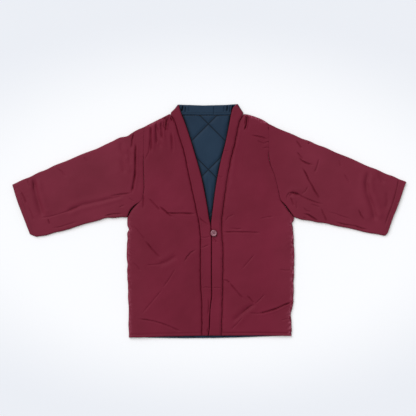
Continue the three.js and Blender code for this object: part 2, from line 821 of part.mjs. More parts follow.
function asManifold(geometry) {
  geometry.deleteAttribute('normal');
  geometry.deleteAttribute('uv');
  const merged = mergeVertices(geometry, 1e-4);
  return new wasm.Manifold(new wasm.Mesh({
    numProp: 3,
    vertProperties: new Float32Array(merged.attributes.position.array),
    triVerts: new Uint32Array(merged.index.array),
  }));
}

function fromManifold(solid) {
  const mesh = solid.getMesh();
  const geometry = new THREE.BufferGeometry();
  geometry.setAttribute('position', new THREE.BufferAttribute(mesh.vertProperties, 3));
  geometry.setIndex(new THREE.BufferAttribute(mesh.triVerts, 1));
  geometry.computeVertexNormals();
  return geometry;
}

// Loop: a fine rouleau from the right band's edge, under the button and back
function loopGeometry() {
  const points = Array.from({ length: loop.steps + 1 }, (_, i) => {
    const turn = Math.PI * (i / loop.steps - 0.5);
    const drop = loop.drop * (1 - Math.cos(turn)) ** 3;
    return new THREE.Vector3(loop.reach * Math.cos(turn), loop.halfWidth * Math.sin(turn), -drop);
  });
  const path = new THREE.CatmullRomCurve3(points);
  const section = new THREE.Shape();
  section.absarc(0, 0, loop.cordRadius, 0, Math.PI * 2);
  return new THREE.ExtrudeGeometry(section, {
    steps: loop.steps,
    extrudePath: path,
    curveSegments: loop.sides,
  });
}

function piece(name, geometry, colour, roughness) {
  const material = new THREE.MeshStandardMaterial({ color: colour, roughness, metalness: 0 });
  const mesh = new THREE.Mesh(geometry, material);
  mesh.name = name;
  return mesh;
}

const fineRight = fineBand(bandRight);
const fineLeft = fineBand(bandLeft);
const jacket = new THREE.Group();
jacket.add(
  piece('back_body', backBody(), wine, 0.72),
  piece('back_lining', backLining(), navy, 0.66),
  piece('front_right', frontGeometry(wearersRight, fineRight, foldsFrontRight), wine, 0.72),
  piece('front_left', frontGeometry(wearersLeft, fineLeft, foldsFrontLeft), wine, 0.72),
  piece('sleeve_right', sleeveGeometry(wearersRight, foldsSleeveRight), wineLight, 0.72),
  piece('sleeve_left', sleeveGeometry(wearersLeft, foldsSleeveLeft), wineLight, 0.72),
  piece('band_right', bandGeometry(fineRight, -1), wine, 0.7),
  piece('band_left', bandGeometry(fineLeft, 1), wine, 0.7),
  piece('band_neck', neckBandGeometry(), navy, 0.66),
);

const bandTop = frontFloor + bandWall;
const buttonMesh = piece('button', buttonGeometry(), wine, 0.25);
buttonMesh.position.set(button.x, button.y, bandTop + 2 * loop.cordRadius + 2 * seamGap);
const loopMesh = piece('button_loop', loopGeometry(), wine, 0.7);
loopMesh.position.set(loop.from, button.y, bandTop + loop.cordRadius + seamGap);
jacket.add(buttonMesh, loopMesh);

export default jacket;
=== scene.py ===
import math

import bmesh
import bpy
import numpy as np
from mathutils import Matrix, Vector


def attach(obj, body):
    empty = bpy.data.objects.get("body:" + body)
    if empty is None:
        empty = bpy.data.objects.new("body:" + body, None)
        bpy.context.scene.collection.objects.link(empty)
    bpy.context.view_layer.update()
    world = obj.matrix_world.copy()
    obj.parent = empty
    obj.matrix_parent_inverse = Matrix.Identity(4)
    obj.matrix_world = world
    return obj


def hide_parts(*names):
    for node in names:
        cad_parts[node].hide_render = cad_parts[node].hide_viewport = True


# Hanten jacket in light wadded cloth, buttoned and laid flat on its back.
# Lengths in the dictionaries are millimetres; meshes are written in metres.
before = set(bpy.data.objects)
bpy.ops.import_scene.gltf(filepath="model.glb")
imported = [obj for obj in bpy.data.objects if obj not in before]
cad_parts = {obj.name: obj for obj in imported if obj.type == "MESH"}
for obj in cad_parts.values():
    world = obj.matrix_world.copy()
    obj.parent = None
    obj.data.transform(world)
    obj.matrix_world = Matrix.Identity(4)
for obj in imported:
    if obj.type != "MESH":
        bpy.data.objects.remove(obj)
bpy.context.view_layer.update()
mm = 0.001

# heights and lengths that the cloths share; a swell is a height and a size, and a gather
# is a height, a pitch and a reach
cloth = {
    "gap": 0.3,
    "backTop": 3.2,
    "liningFloor": 3.5,
    "liningTop": 5.0,
    "frontFloor": 7.1,
    "frontTop": 11.3,
    "backHem": -411.6,
    "frontHem": -402.8,
    "backNeck": 368.4,
    "hemEaseLength": 110,
    "crown": 2.4,
    "crownReach": 60,
}


def table(columns, *rows):
    return dict(zip(columns.split(), np.array(rows, float).T))


def smoothLine(xs, ys, at):
    # a smooth line through points that never runs past them, as a cut edge does
    if xs[0] > xs[-1]:
        xs, ys = xs[::-1], ys[::-1]
    slope = np.diff(ys) / np.diff(xs)
    both = slope[:-1] * slope[1:]
    total = np.where(both > 0, slope[:-1] + slope[1:], 1)
    turn = np.where(both > 0, 2 * both / total, 0)
    turn = np.concatenate([slope[:1], turn, slope[-1:]])
    at = np.clip(at, xs[0], xs[-1])
    row = np.clip(np.searchsorted(xs, at) - 1, 0, len(xs) - 2)
    span = xs[row + 1] - xs[row]
    t = (at - xs[row]) / span
    bend = t * (1 - t) * span * ((1 - t) * turn[row] - t * turn[row + 1])
    return ys[row] + (ys[row + 1] - ys[row]) * t * t * (3 - 2 * t) + bend


def read(rows, by, column, at):
    return smoothLine(rows[by], rows[column], at)


def along(rows, part):
    # the place at a part of the way along a cut line
    steps = np.hypot(np.diff(rows["x"]), np.diff(rows["y"]))
    distance = np.concatenate([[0], np.cumsum(steps)])
    at = np.asarray(part) * distance[-1]
    return smoothLine(distance, rows["x"], at), smoothLine(distance, rows["y"], at)


def smoothStep(value):
    part = np.clip(value, 0, 1)
    return part * part * (3 - 2 * part)


def mix(low, high, part):
    return low + (high - low) * part


def roundRise(distance, radius):
    # quarter round: 0 at an edge, 1 from the radius inwards
    short = 1 - np.clip(distance / radius, 0, 1)
    return np.sqrt(1 - short * short)


def rimmed(part, length, rim, share):
    # a part of the width, with this share of the cells kept for the soft rim at each end
    rimPart = np.minimum(rim / length, 0.3)
    near = np.minimum(part, 1 - part)
    inRim = rimPart * np.clip(near / share, 0, 1) ** 1.5
    inside = rimPart + (near - share) / (0.5 - share) * (0.5 - rimPart)
    measured = np.where(near < share, inRim, inside)
    return np.where(part < 0.5, measured, 1 - measured)


# the kinds of crease: width and depth of the trough, and height of the lip beside it
creases = {
    "tuck": (1.4, 3.8, 1.4),
    "pleat": (1.4, 6.2, 2.6),
    "gather": (2.5, 5.2, 1.6),
    "deep": (2.3, 4.3, 1.2),
    "strong": (2.1, 3.7, 0.7),
    "medium": (2, 2.7, 0.5),
    "faint": (2, 1.6, 0.2),
    "drawn": (3, 4, 1.2),
    "valley": (4.6, 3, 1),
    "soft": (6, 2.6, 0.9),
    "slack": (6, 4, 1.3),
    "broad": (7, 5.8, 2.6),
}


def fold(kind, *line):
    # a trough along a line of places, of a kind named above or of its own width, depth and lip
    width, depth, lip = creases.get(kind, kind)
    return {"line": np.array(line, float), "width": width, "depth": depth, "lip": lip}


def fromLine(line, x, y):
    # distance from a line of points (positive on its left side) and the run along it
    steps = np.hypot(*np.diff(line, axis=0).T)
    away = np.full_like(x, 1e9)
    place = np.zeros_like(x)
    for k, step in enumerate(steps):
        dx, dy = (line[k + 1] - line[k]) / step
        held = np.clip((x - line[k][0]) * dx + (y - line[k][1]) * dy, 0, step)
        sideX, sideY = x - line[k][0] - held * dx, y - line[k][1] - held * dy
        here = np.hypot(sideX, sideY)
        closer = here < np.abs(away)
        away = np.where(closer, np.where(dx * sideY - dy * sideX > 0, here, -here), away)
        place = np.where(closer, steps[:k].sum() + held, place)
    return away, place, steps.sum()


def foldHeight(folds, x, y):
    total = np.zeros_like(x)
    for number, item in enumerate(folds):
        away, place, length = fromLine(item["line"], x, y)
        part = place / length
        fade = min(0.3 * length, 24)
        taper = smoothStep(place / fade + 0.15) * smoothStep((length - place) / fade + 0.15)
        uneven = 0.88 + 0.12 * np.sin(place / 9 + number * 2.1)
        width = item["width"] * (0.85 + 0.3 * part)
        flank = width * np.where(away > 0, 0.85, 1.2)
        hollow = np.exp(-((away / flank) ** 2))
        if item["width"] < 4:
            # a pressed crease is tight at its bottom, between slack shoulders
            hollow = 0.72 * hollow + 0.28 * np.exp(-np.abs(away) / (3 * width))
        lips = np.exp(-(((away - 2.6 * width) / (1.4 * width)) ** 2))
        lips = lips + 0.6 * np.exp(-(((away + 3 * width) / (1.6 * width)) ** 2))
        total += taper * uneven * (item["lip"] * lips - item["depth"] * hollow)
    return total


def creaseDistance(folds, x, y):
    # distance to the nearest tight crease
    return np.min([np.abs(fromLine(item["line"], x, y)[0]) for item in folds if item["width"] < 4], axis=0)


def wander(swell, x, y, seed):
    # soft swell of a laid cloth, of a height and a size, that never repeats over the garment
    height, size = swell
    total = 0
    for k, angle in enumerate((0.3, 1.27, 2.11, 2.83, 0.79)):
        turn = angle + seed * 0.61
        wave = size * (0.72 + 0.19 * k)
        travel = x * math.cos(turn) + y * math.sin(turn)
        across = y * math.cos(turn) - x * math.sin(turn)
        bent = travel + 0.12 * size * np.sin(across / size * 2.3)
        total = total + np.sin(2 * math.pi * bent / wave + seed * (k + 1.7))
    return height * (total / 5)


def puckers(gather, run, away, seed, share=1):
    # small gathers of a height, pitch and reach, square to a seam, that die out away from it
    height, pitch, reach = gather
    phase = run / pitch + 1.3 * np.sin(run / (pitch * 3.7) + seed)
    phase = phase + 0.6 * np.sin(run / (pitch * 1.6) + 2.1 * seed)
    strength = 0.5 + 0.5 * np.sin(run / (pitch * 4.9) + seed * 1.7)
    length = reach * (0.7 + 0.5 * np.sin(run / (pitch * 2.3) + seed * 3.1) ** 2)
    return height * share * (strength * np.sin(2 * math.pi * phase) * np.exp(-away / length))


def clothGrid(columns, rows, tube=False):
    # a grid in its own parts across (0 to 1) and along (0 to 1), as a flat sheet or a closed tube
    bm = bmesh.new()
    bmesh.ops.create_grid(bm, x_segments=columns, y_segments=rows, size=0.5)
    at = bm.verts.layers.float_vector.new("at")
    for vert in bm.verts:
        vert[at] = (vert.co.x + 0.5, vert.co.y + 0.5, 0)
    if tube:
        for vert in bm.verts:
            turn = 2 * math.pi * vert[at].x
            vert.co = (math.cos(turn), math.sin(turn), vert[at].y)
        bmesh.ops.remove_doubles(bm, verts=bm.verts, dist=1e-6)
    return bm, at


def finerCells(bm, at, place, folds):
    # halves the cells of the outer face beside its tight creases, twice
    for reach in (6.5, 3.4):
        edges = []
        for edge in bm.edges:
            first, last = edge.verts[0][at], edge.verts[1][at]
            if first.z + last.z > 1.5 and abs(first.x - last.x) < 0.5:
                edges.append(edge)
        middles = np.array([(edge.verts[0][at] + edge.verts[1][at]) / 2 for edge in edges]).T
        x, y, _ = place(*middles)
        near = creaseDistance(folds, x, y) < reach
        chosen = [edge for edge, isNear in zip(edges, near) if isNear]
        bmesh.ops.subdivide_edges(bm, edges=chosen, cuts=1, use_grid_fill=True)


def makeCloth(name, columns, rows, place, size, materials, tube=False, turnedIn=0, folds=None):
    # place(u, v, w) gives millimetres; w is 0 on the inner face and 1 on the outer one
    # the inner face has the last material, but the second one on the part turned in at the start, which on
    # the sleeves is a darker copy of the wine cloth painted as shade
    bm, at = clothGrid(columns, rows, tube)
    uv = bm.loops.layers.uv.new("cloth")
    for face in bm.faces:
        wraps = tube and max(l.vert[at].x for l in face.loops) - min(l.vert[at].x for l in face.loops) > 0.5
        for loop in face.loops:
            u, v, _ = loop.vert[at]
            u = u + 1 if wraps and u < 0.5 else u
            loop[uv].uv = (u * size[0] * mm, v * size[1] * mm)
    inner = bm.faces[:]
    made = bmesh.ops.extrude_face_region(bm, geom=inner, use_keep_orig=True)
    for vert in (item for item in made["geom"] if isinstance(item, bmesh.types.BMVert)):
        vert[at] = (vert[at].x, vert[at].y, 1)
    for face in inner:
        face.material_index = 1 if face.verts[0][at].y < turnedIn else len(materials) - 1
    if folds:
        finerCells(bm, at, place, folds)
    parts = np.array([vert[at] for vert in bm.verts]).T
    spots = np.array(place(*parts)).T * mm
    for vert, spot in zip(bm.verts, spots):
        vert.co = spot
    bmesh.ops.recalc_face_normals(bm, faces=bm.faces)
    return finishMesh(bm, name, materials)


def markSheenEdges(piece, distance, reach, shineWeight=1):
    # how near each place is to an edge where the cloth turns under, read by its material to paint a sheen
    # there
    spots = np.empty(len(piece.data.vertices) * 3)
    piece.data.vertices.foreach_get("co", spots)
    x, y, z = spots.reshape(-1, 3).T / mm
    marks = piece.data.attributes.new("edgeSheenMask", "FLOAT", "POINT")
    marks.data.foreach_set("value", shineWeight * np.exp(-((distance(x, y, z) / reach) ** 2)))


def finishMesh(bm, name, materials):
    for face in bm.faces:
        face.smooth = True
    mesh = bpy.data.meshes.new(name)
    bm.to_mesh(mesh)
    bm.free()
    for material in materials:
        mesh.materials.append(material)
    piece = bpy.data.objects.new(name, mesh)
    bpy.context.scene.collection.objects.link(piece)
    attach(piece, "root")
    return piece


def linear(hexColour):
    channels = [int(hexColour[i : i + 2], 16) / 255 for i in (1, 3, 5)]
    return [c / 12.92 if c <= 0.04045 else ((c + 0.055) / 1.055) ** 2.4 for c in channels] + [1]


def newMaterial(name):
    material = bpy.data.materials.new(name)
    material.use_nodes = True
    material.node_tree.nodes.clear()
    return material


def add(material, kind, inputs=None, stops=(), **settings):
    # one node; an input is a value, an output socket, or a node that it takes the first output of
    node = material.node_tree.nodes.new("ShaderNode" + kind)
    for number, (position, colour) in enumerate(stops):
        elements = node.color_ramp.elements
        element = elements[number] if number < len(elements) else elements.new(position)
        element.position, element.color = position, colour
    for key, value in settings.items():
        setattr(node, key, value)
    for key, value in (inputs or {}).items():
        if isinstance(value, bpy.types.Node):
            value = value.outputs[0]
        if isinstance(value, bpy.types.NodeSocket):
            material.node_tree.links.new(value, node.inputs[key])
        else:
            node.inputs[key].default_value = value
    return node


def wovenCloth(name, look):
    # plain-woven polyester taffeta over light wadding: smooth and close, with a soft even sheen
    material = newMaterial(name)
    uv = add(material, "UVMap", uv_map="cloth")
    place = add(material, "TexCoord").outputs["Object"]
    patches = add(material, "TexNoise", {
        "Vector": place, "Scale": 1 / (look["patch"] * mm), "Detail": 3, "Roughness": 0.55,
    })
    tones = [(0.3, linear(look["dark"])), (0.7, linear(look["light"]))]
    colour = add(material, "ValToRGB", {"Fac": patches}, tones)
    # out to the sides the colour is multiplied up, most in green and blue, as a painted sheen that grows
    # from 200 to 330 mm off the middle and stays full beyond
    apart = add(material, "SeparateXYZ", {"Vector": place})
    aside = add(material, "Math", {0: apart}, operation="ABSOLUTE")
    loose = add(material, "MapRange", {"Value": aside, "From Min": 200 * mm, "From Max": 330 * mm})
    colour = add(
        material, "Mix", {0: loose, 6: colour, 7: look["loose"]}, data_type="RGBA", blend_type="MULTIPLY"
    ).outputs[2]
    # threads cross at right angles, drawn far coarser than the real 0.2 mm so that the weave can be seen
    threads = {"Vector": uv, "Scale": 1 / (look["thread"] * mm) / 20, "Distortion": 0.4, "Detail": 1}
    warp = add(material, "TexWave", threads, bands_direction="X").outputs["Fac"]
    weft = add(material, "TexWave", threads, bands_direction="Y").outputs["Fac"]
    crossing = add(material, "Math", {0: warp, 1: weft}, operation="MULTIPLY")
    weaveBump = add(material, "Bump", {
        "Height": crossing, "Strength": look["weaveBump"], "Distance": 0.12 * mm,
    })
    # fine crush marks of packed cloth, longer one way than the other
    stretched = add(material, "Mapping", {"Vector": uv, "Scale": (1.0, 0.45, 1.0), "Rotation": (0, 0, 0.5)})
    crush = add(material, "TexNoise", {
        "Vector": stretched,
        "Scale": 1 / (look["crush"] * mm),
        "Detail": 4,
        "Roughness": 0.6,
        "Distortion": 0.5,
    })
    crushBump = add(material, "Bump", {
        "Height": crush, "Strength": look["crushBump"], "Distance": 2 * mm, "Normal": weaveBump,
    })
    gloss = add(material, "MapRange", {
        "Value": crush, "To Min": look["roughness"] - 0.05, "To Max": look["roughness"] + 0.06,
    })
    # where it turns under at a free edge the colour is mixed towards a light pink in fine streaks, a
    # painted sheen; the painted crease shade below is held off there
    edge = add(material, "Attribute", attribute_name="edgeSheenMask").outputs["Fac"]
    slanted = add(material, "Mapping", {"Vector": place, "Scale": (1.0, 0.5, 1.0), "Rotation": (0, 0, 0.6)})
    creased = add(material, "TexNoise", {
        "Vector": slanted, "Scale": 1 / (look["wrinkle"] * mm), "Detail": 2, "Distortion": 1.2,
    })
    wrinkles = add(material, "MapRange", {
        "Value": creased, "From Min": 0.45, "From Max": 0.72, "To Max": look["paintedSheen"],
    })
    sheenStreaks = add(material, "Math", {0: edge, 1: wrinkles}, operation="MULTIPLY")
    paintedSheen = add(material, "Mix", {0: sheenStreaks, 6: colour, 7: linear(look["sheenPaintTint"])}, data_type="RGBA")
    # in creases, seams and beside taller neighbours an ambient occlusion node darkens and reddens the
    # colour: painted shade
    unblocked = add(material, "AmbientOcclusion", {"Distance": look["creaseReach"] * mm}, samples=8)
    depth = add(material, "MapRange", {
        "Value": unblocked.outputs["AO"],
        "From Min": look["creaseOpen"],
        "From Max": 0.93,
        "To Min": look["creaseShade"],
    })
    depth = add(material, "Math", {0: depth, 1: edge}, operation="MAXIMUM")
    tones = [(0, look["deepShadeTint"]), (0.5, look["halfShadeTint"]), (1, (1, 1, 1, 1))]
    deepShadeTint = add(material, "ValToRGB", {"Fac": depth}, tones)
    shaded = add(
        material, "Mix", {0: 1, 6: paintedSheen.outputs[2], 7: deepShadeTint}, data_type="RGBA", blend_type="MULTIPLY"
    )
    shader = add(material, "BsdfPrincipled", {
        "Base Color": shaded.outputs[2],
        "Roughness": gloss,
        "IOR": 1.5,
        "Specular IOR Level": look["specular"],
        "Sheen Weight": look["sheen"],
        "Sheen Roughness": 0.3,
        "Sheen Tint": linear(look["sheenTint"]),
        "Normal": crushBump,
    })
    add(material, "OutputMaterial", {"Surface": shader})
    return material


wineLook = {
    "dark": "#69182c",
    "light": "#731d33",
    "patch": 160,
    "thread": 1.1,
    "crush": 24,
    "weaveBump": 0.25,
    "crushBump": 0.22,
    "roughness": 0.62,
    "specular": 0.13,
    "sheen": 0.1,
    "sheenTint": "#d8a0ac",
    "creaseReach": 12,
    "creaseShade": 0.26,
    "deepShadeTint": (0.16, 0, 0.03, 1),
    "halfShadeTint": (0.6, 0.22, 0.36, 1),
    "creaseOpen": 0.4,
    "wrinkle": 6,
    "paintedSheen": 0.95,
    "sheenPaintTint": "#a45569",
    "loose": (1.05, 1.4, 1.16, 1),
}
navyLook = wineLook | {
    "dark": "#1b2e41",
    "light": "#22374b",
    "sheenTint": "#9fb0c4",
    "crush": 16,
    "crushBump": 0.25,
    "creaseReach": 13,
    "creaseShade": 0,
    "deepShadeTint": (0, 0, 0, 1),
    "halfShadeTint": (0.42, 0.5, 0.55, 1),
    "creaseOpen": 0.63,
    "sheenPaintTint": "#5d7590",
    "loose": (1, 1, 1, 1),
}
# a darker copy of the wine cloth for the sleeves' inner faces nearest the armhole, seen through the
# underarm openings: painted shade
shadedWineLook = wineLook | {"dark": "#350d18", "light": "#3f121e", "creaseShade": 0.8, "paintedSheen": 0}
wineThreadLook = {"colour": "#5c1a2a", "ply": 0.6}
navyThreadLook = wineThreadLook | {"colour": "#1c2a3b"}

wine = wovenCloth("wine polyester taffeta, woven", wineLook)
shadedWineCloth = wovenCloth("wine polyester taffeta, woven, darkened as painted shade", shadedWineLook)
navy = wovenCloth("navy polyester taffeta, woven", navyLook)


def quiltedLining(name, look, quilt):
    # the same woven cloth, stitched in diamonds: the thread shows as a wide near-black line, which also
    # paints the shade of its groove, and draws the cloth down
    material = wovenCloth(name, look)
    tree = material.node_tree
    shader = next(node for node in tree.nodes if node.type == "BSDF_PRINCIPLED")
    place = next(node for node in tree.nodes if node.type == "TEX_COORD").outputs["Object"]
    apart = add(material, "SeparateXYZ", {"Vector": place}).outputs
    seams = []
    for sign, operation in ((1, "ADD"), (-1, "SUBTRACT")):
        across = add(material, "Math", {0: apart["X"], 1: apart["Y"]}, operation=operation)
        start = (quilt["x"] + sign * quilt["y"]) * mm
        moved = add(material, "Math", {0: across, 1: start}, operation="SUBTRACT")
        cells = add(material, "Math", {0: moved, 1: quilt["pitch"] * mm}, operation="DIVIDE")
        nearest = add(material, "Math", {0: cells}, operation="ROUND")
        offset = add(material, "Math", {0: cells, 1: nearest}, operation="SUBTRACT")
        seams.append(add(material, "Math", {0: offset}, operation="ABSOLUTE"))
    away = add(material, "Math", {0: seams[0], 1: seams[1]}, operation="MINIMUM")
    halfLine = quilt["line"] / quilt["pitch"]
    line = add(material, "MapRange", {
        "Value": away, "From Min": 0, "From Max": halfLine, "To Min": 1, "To Max": 0,
    })
    groove = add(material, "MapRange", {"Value": away, "From Min": 0, "From Max": halfLine * 3})
    plain = shader.inputs["Base Color"].links[0].from_socket
    drawn = add(material, "Mix", {0: line, 6: plain, 7: linear(look["stitch"])}, data_type="RGBA")
    tree.links.new(drawn.outputs[2], shader.inputs["Base Color"])
    smooth = shader.inputs["Normal"].links[0].from_socket
    dent = add(material, "Bump", {
        "Height": groove, "Strength": 1, "Distance": quilt["dent"] * mm, "Normal": smooth,
    })
    tree.links.new(dent.outputs["Normal"], shader.inputs["Normal"])
    return material


def polishedResin(name, look):
    # cast polyester resin, tumbled and polished: a hard clear gloss over an even colour with faint swirls
    material = newMaterial(name)
    place = add(material, "TexCoord").outputs["Object"]
    swirl = add(material, "TexNoise", {
        "Vector": place, "Scale": 1 / (look["swirl"] * mm), "Detail": 2, "Distortion": 1.5,
    })
    tones = [(0.35, linear(look["dark"])), (0.7, linear(look["light"]))]
    colour = add(material, "ValToRGB", {"Fac": swirl}, tones)
    shader = add(material, "BsdfPrincipled", {
        "Base Color": colour, "Roughness": look["roughness"], "IOR": 1.55,
    })
    add(material, "OutputMaterial", {"Surface": shader})
    return material


def spunThread(name, look):
    # spun polyester sewing thread: two plies twisted, matt
    material = newMaterial(name)
    place = add(material, "TexCoord").outputs["Object"]
    plies = add(
        material, "TexWave", {"Vector": place, "Scale": 1 / (look["ply"] * mm) / 20, "Distortion": 1},
        bands_direction="DIAGONAL",
    )
    twist = add(material, "Bump", {
        "Height": plies.outputs["Fac"], "Strength": 0.3, "Distance": 0.1 * mm,
    })
    shader = add(material, "BsdfPrincipled", {
        "Base Color": linear(look["colour"]), "Roughness": 0.7, "Normal": twist,
    })
    add(material, "OutputMaterial", {"Surface": shader})
    return material


wineThread = spunThread("wine spun polyester thread", wineThreadLook)
navyThread = spunThread("navy spun polyester thread", navyThreadLook)

# the two halves of the body: side seam and shoulder give x by y, the sleeves' lines give places
rightHalf = {
    "outward": -1,
    "side": table("y x", (-407, -280), (-290, -282), (-110, -287), (-14, -285), (11, -286)),
    "armhole": table(
        "x y", (-228, 328), (-230, 264), (-230, 199), (-228, 119), (-235, 75), (-256, 54), (-272, 35),
        (-286, 11),
    ),
    "shoulder": table("y x", (328, -228), (375, -135)),
    "sleeveTop": table(
        "x y", (-228, 328), (-267, 310), (-293, 294), (-314, 290), (-361, 267), (-529, 198), (-689.5, 126),
    ),
    "sleeveBottom": table(
        "x y", (-286, 11), (-357, 8), (-382, 2), (-530, -41), (-598, -57), (-606, -58), (-610, -56),
        (-627, -49),
    ),
    "cuff": table("x y", (-689.5, 126), (-673, 72), (-652, 16), (-627, -49)),
    "bites": table(
        "y depth reach",
        (-31, 5.2, 9), (-68, 1.6, 14), (-156, 2, 13), (-233, 1.3, 20), (-313, 2, 22), (-392, 1.2, 9),
    ),
    "armholeDip": table(
        "y dip", (11, 3.6), (50, 3.2), (66, 0.5), (84, 1.2), (130, 2.2), (205, 1.7), (228, 0.5), (242, 0),
        (328, 0),
    ),
    "bandDip": 5,
    "hemFoldDepth": 1.4,
    "edgeShine": 0.75,
    "slitWidth": 5.5,
    "sway": 0.4,
    "seed": 1.3,
}
leftHalf = {
    "outward": 1,
    "side": table("y x", (-407, 287), (-334, 286), (-290, 292), (-110, 296), (-14, 291), (11, 297)),
    "armhole": table(
        "x y", (208, 339), (208, 282), (208, 229), (213, 199), (228, 159), (243, 99), (249, 73), (264, 53),
        (278, 33), (297, 11),
    ),
    "shoulder": table("y x", (339, 208), (352, 188), (366, 153), (375, 119)),
    "sleeveTop": table("x y", (208, 339), (272, 310), (409, 254), (573, 184), (640, 156), (689.5, 136)),
    "sleeveBottom": table(
        "x y", (297, 11), (321, 4), (412, -12), (542, -40), (608, -52.4), (615, -53), (617, -52),
        (624, -45),
    ),
    "cuff": table("x y", (689.5, 136), (684, 121), (661, 54), (641, 5), (624, -45)),
    "bites": table(
        "y depth reach",
        (-10, 4, 7), (-89, 1.7, 10), (-163, 1, 7), (-212, 1.4, 16), (-327, 2.8, 24), (-396, 3, 6),
    ),
    "armholeDip": table(
        "y dip", (11, 4), (58, 3.8), (76, 2), (99, 1.2), (150, 0.8), (196, 1.6), (212, 2.6), (230, 2),
        (246, 0), (339, 0),
    ),
    "bandDip": 7.5,
    "hemFoldDepth": 2.8,
    "edgeShine": 1.6,
    "slitWidth": 3.6,
    "sway": 0.7,
    "seed": 4.1,
}
# how far the hem lies above its level (below it where this is negative) across the width
hemEase = {
    "back": table(
        "x ease", (-287, 2.5), (-242, 2.5), (-207, 1.5), (-100, 0), (20, 0.5), (107, 2.5), (178, 5.5),
        (297, 9),
    ),
    "front": table(
        "x ease", (-287, -6.5), (-242, -6.5), (-172, -3), (-32, 0), (178, 1), (283, -1), (297, -1),
    ),
}


def outline(half, y):
    underarm = half["side"]["y"][-1]
    shoulderY = half["shoulder"]["y"][0]
    side = read(half["side"], "y", "x", y)
    armhole = read(half["armhole"], "y", "x", y)
    shoulder = read(half["shoulder"], "y", "x", y)
    return np.where(y <= underarm, side, np.where(y < shoulderY, armhole, shoulder))


def scallops(half, y):
    # the pulled side seam draws the outline into a few soft bites, between which it swells out
    bites = half["bites"]
    underarm = half["side"]["y"][-1]
    depth = 0.35 * np.sin(y / 6.1 + 1.5 * np.sin(y / 29 + half["seed"])) - 2
    for k, middle in enumerate(bites["y"]):
        depth = depth + bites["depth"][k] * np.exp(-(((y - middle) / bites["reach"][k]) ** 2))
    return -half["outward"] * depth * smoothStep((underarm + 2 - y) / 14)


def sideDistance(half, x, y):
    lean = np.hypot(1, (outline(half, y + 1) - outline(half, y - 1)) / 2)
    return np.abs(outline(half, y) - x) / lean


def seamShare(half, y):
    # 1 where the outline is the armhole seam, 0 where it is a soft side or shoulder edge
    underarm = half["side"]["y"][-1]
    shoulderY = half["shoulder"]["y"][0]
    return smoothStep((y - underarm) / 10) * smoothStep((shoulderY - y) / 10)


def eased(rows, level, x, y):
    part = np.clip(1 - (y - level) / cloth["hemEaseLength"], 0, 1)
    return np.interp(x, rows["x"], rows["ease"]) * part * part


# back: shell and wadding, flat on the table
back = {
    "columns": 60,
    "rows": 170,
    "rim": 5,
    "hemShort": 1.6,
    "cloth": (577, 775),
    "flat": (0.585, 0.78),
    "area": 0.412,
}


def backPlace(u, v, w):
    low, high = cloth["backHem"] + back["hemShort"], cloth["backNeck"]
    y = mix(low, high, rimmed(v, high - low, back["rim"], 0.02))
    left = outline(rightHalf, y) + scallops(rightHalf, y) + 0.5
    right = outline(leftHalf, y) + scallops(leftHalf, y) - 0.5
    x = mix(left, right, rimmed(u, right - left, back["rim"], 0.06))
    away = np.minimum(np.minimum(x - left, right - x), y - low)
    top = cloth["backTop"] * roundRise(away + 0.5, cloth["backTop"])
    return x, y + eased(hemEase["back"], low, x, y), np.where(w > 0.5, top, 0)


backShell = makeCloth("backShell", back["columns"], back["rows"], backPlace, back["cloth"], [wine])
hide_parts("back_body")
print("back made")

# the join of each front with its band, and the band's free edge
rightBand = table(
    "y seam edge",
    (-402.8, -25, -3), (-369, -25, 1), (-311, -25, 3), (-259, -27, 9), (-212, -30, 8), (-61, -30, 8),
    (-37, -32, 7), (-11, -35, 4), (4, -38, 0), (49, -47, -7), (154, -70, -28), (249, -90, -55),
    (282, -101, -65), (357, -125, -91), (363, -130, -94), (375, -135, -98), (390, -121, -103),
    (404, -109, -106),
)
leftBand = table(
    "y seam edge",
    (-402.8, 42, -3), (-369, 43, 1), (-311, 45, 3), (-259, 46, 9), (-212, 47, 8), (-101, 48, 8),
    (-61, 45, 8), (-37, 43, 7), (-11, 43, 6), (14, 45, 9), (114, 58, 22), (199, 72, 38),
    (274, 90, 57), (344, 105, 71), (375, 119, 77), (391, 108, 81), (407, 98, 94),
)

# lining, stitched in diamonds
lining = {
    "columns": 118,
    "rows": 156,
    "inset": 17,
    "shoulderDrop": 42,
    "puff": 1.8,
    "pull": 12,
    "swell": (0.35, 70),
    "gather": (0.22, 9, 10),
    "seed": 2.2,
    "cloth": (545, 775),
    "flat": (0.56, 0.775),
    "area": 0.373,
    "quilt": {"x": -3, "y": 338, "pitch": 160, "line": 4.2, "dent": 1.5},
    "trench": {"depth": 2.6, "reach": 7},
}
# the stitch colour is near-black, darker than the navy thread, to paint the shade in the stitched grooves
navyQuilt = quiltedLining("navy quilted taffeta", navyLook | {"stitch": "#060c14"}, lining["quilt"])
liningFolds = [
    fold((3.2, 1.9, 0.4), (-6, 156), (-2, 86), (1, 23)),
    fold((2.6, 1.3, 0.3), (-27, 149), (-18, 107), (-10, 61)),
    fold((2.6, 1.3, 0.3), (17, 142), (11, 93), (6, 47)),
    fold((7.6, 1.2, 0.2), (-78, 352), (-67, 313), (-50, 261)),
    fold((7.6, 1.1, 0.2), (66, 348), (59, 306), (50, 257)),
]


def quiltAway(x, y):
    # distance to the nearest line of stitching, and the run along it
    quilt = lining["quilt"]
    pitch = quilt["pitch"]
    rising, falling = x - quilt["x"] - (y - quilt["y"]), x - quilt["x"] + (y - quilt["y"])
    toRising = np.abs(rising - pitch * np.round(rising / pitch)) / math.sqrt(2)
    toFalling = np.abs(falling - pitch * np.round(falling / pitch)) / math.sqrt(2)
    return np.minimum(toRising, toFalling), np.where(toRising < toFalling, falling, rising) / math.sqrt(2)


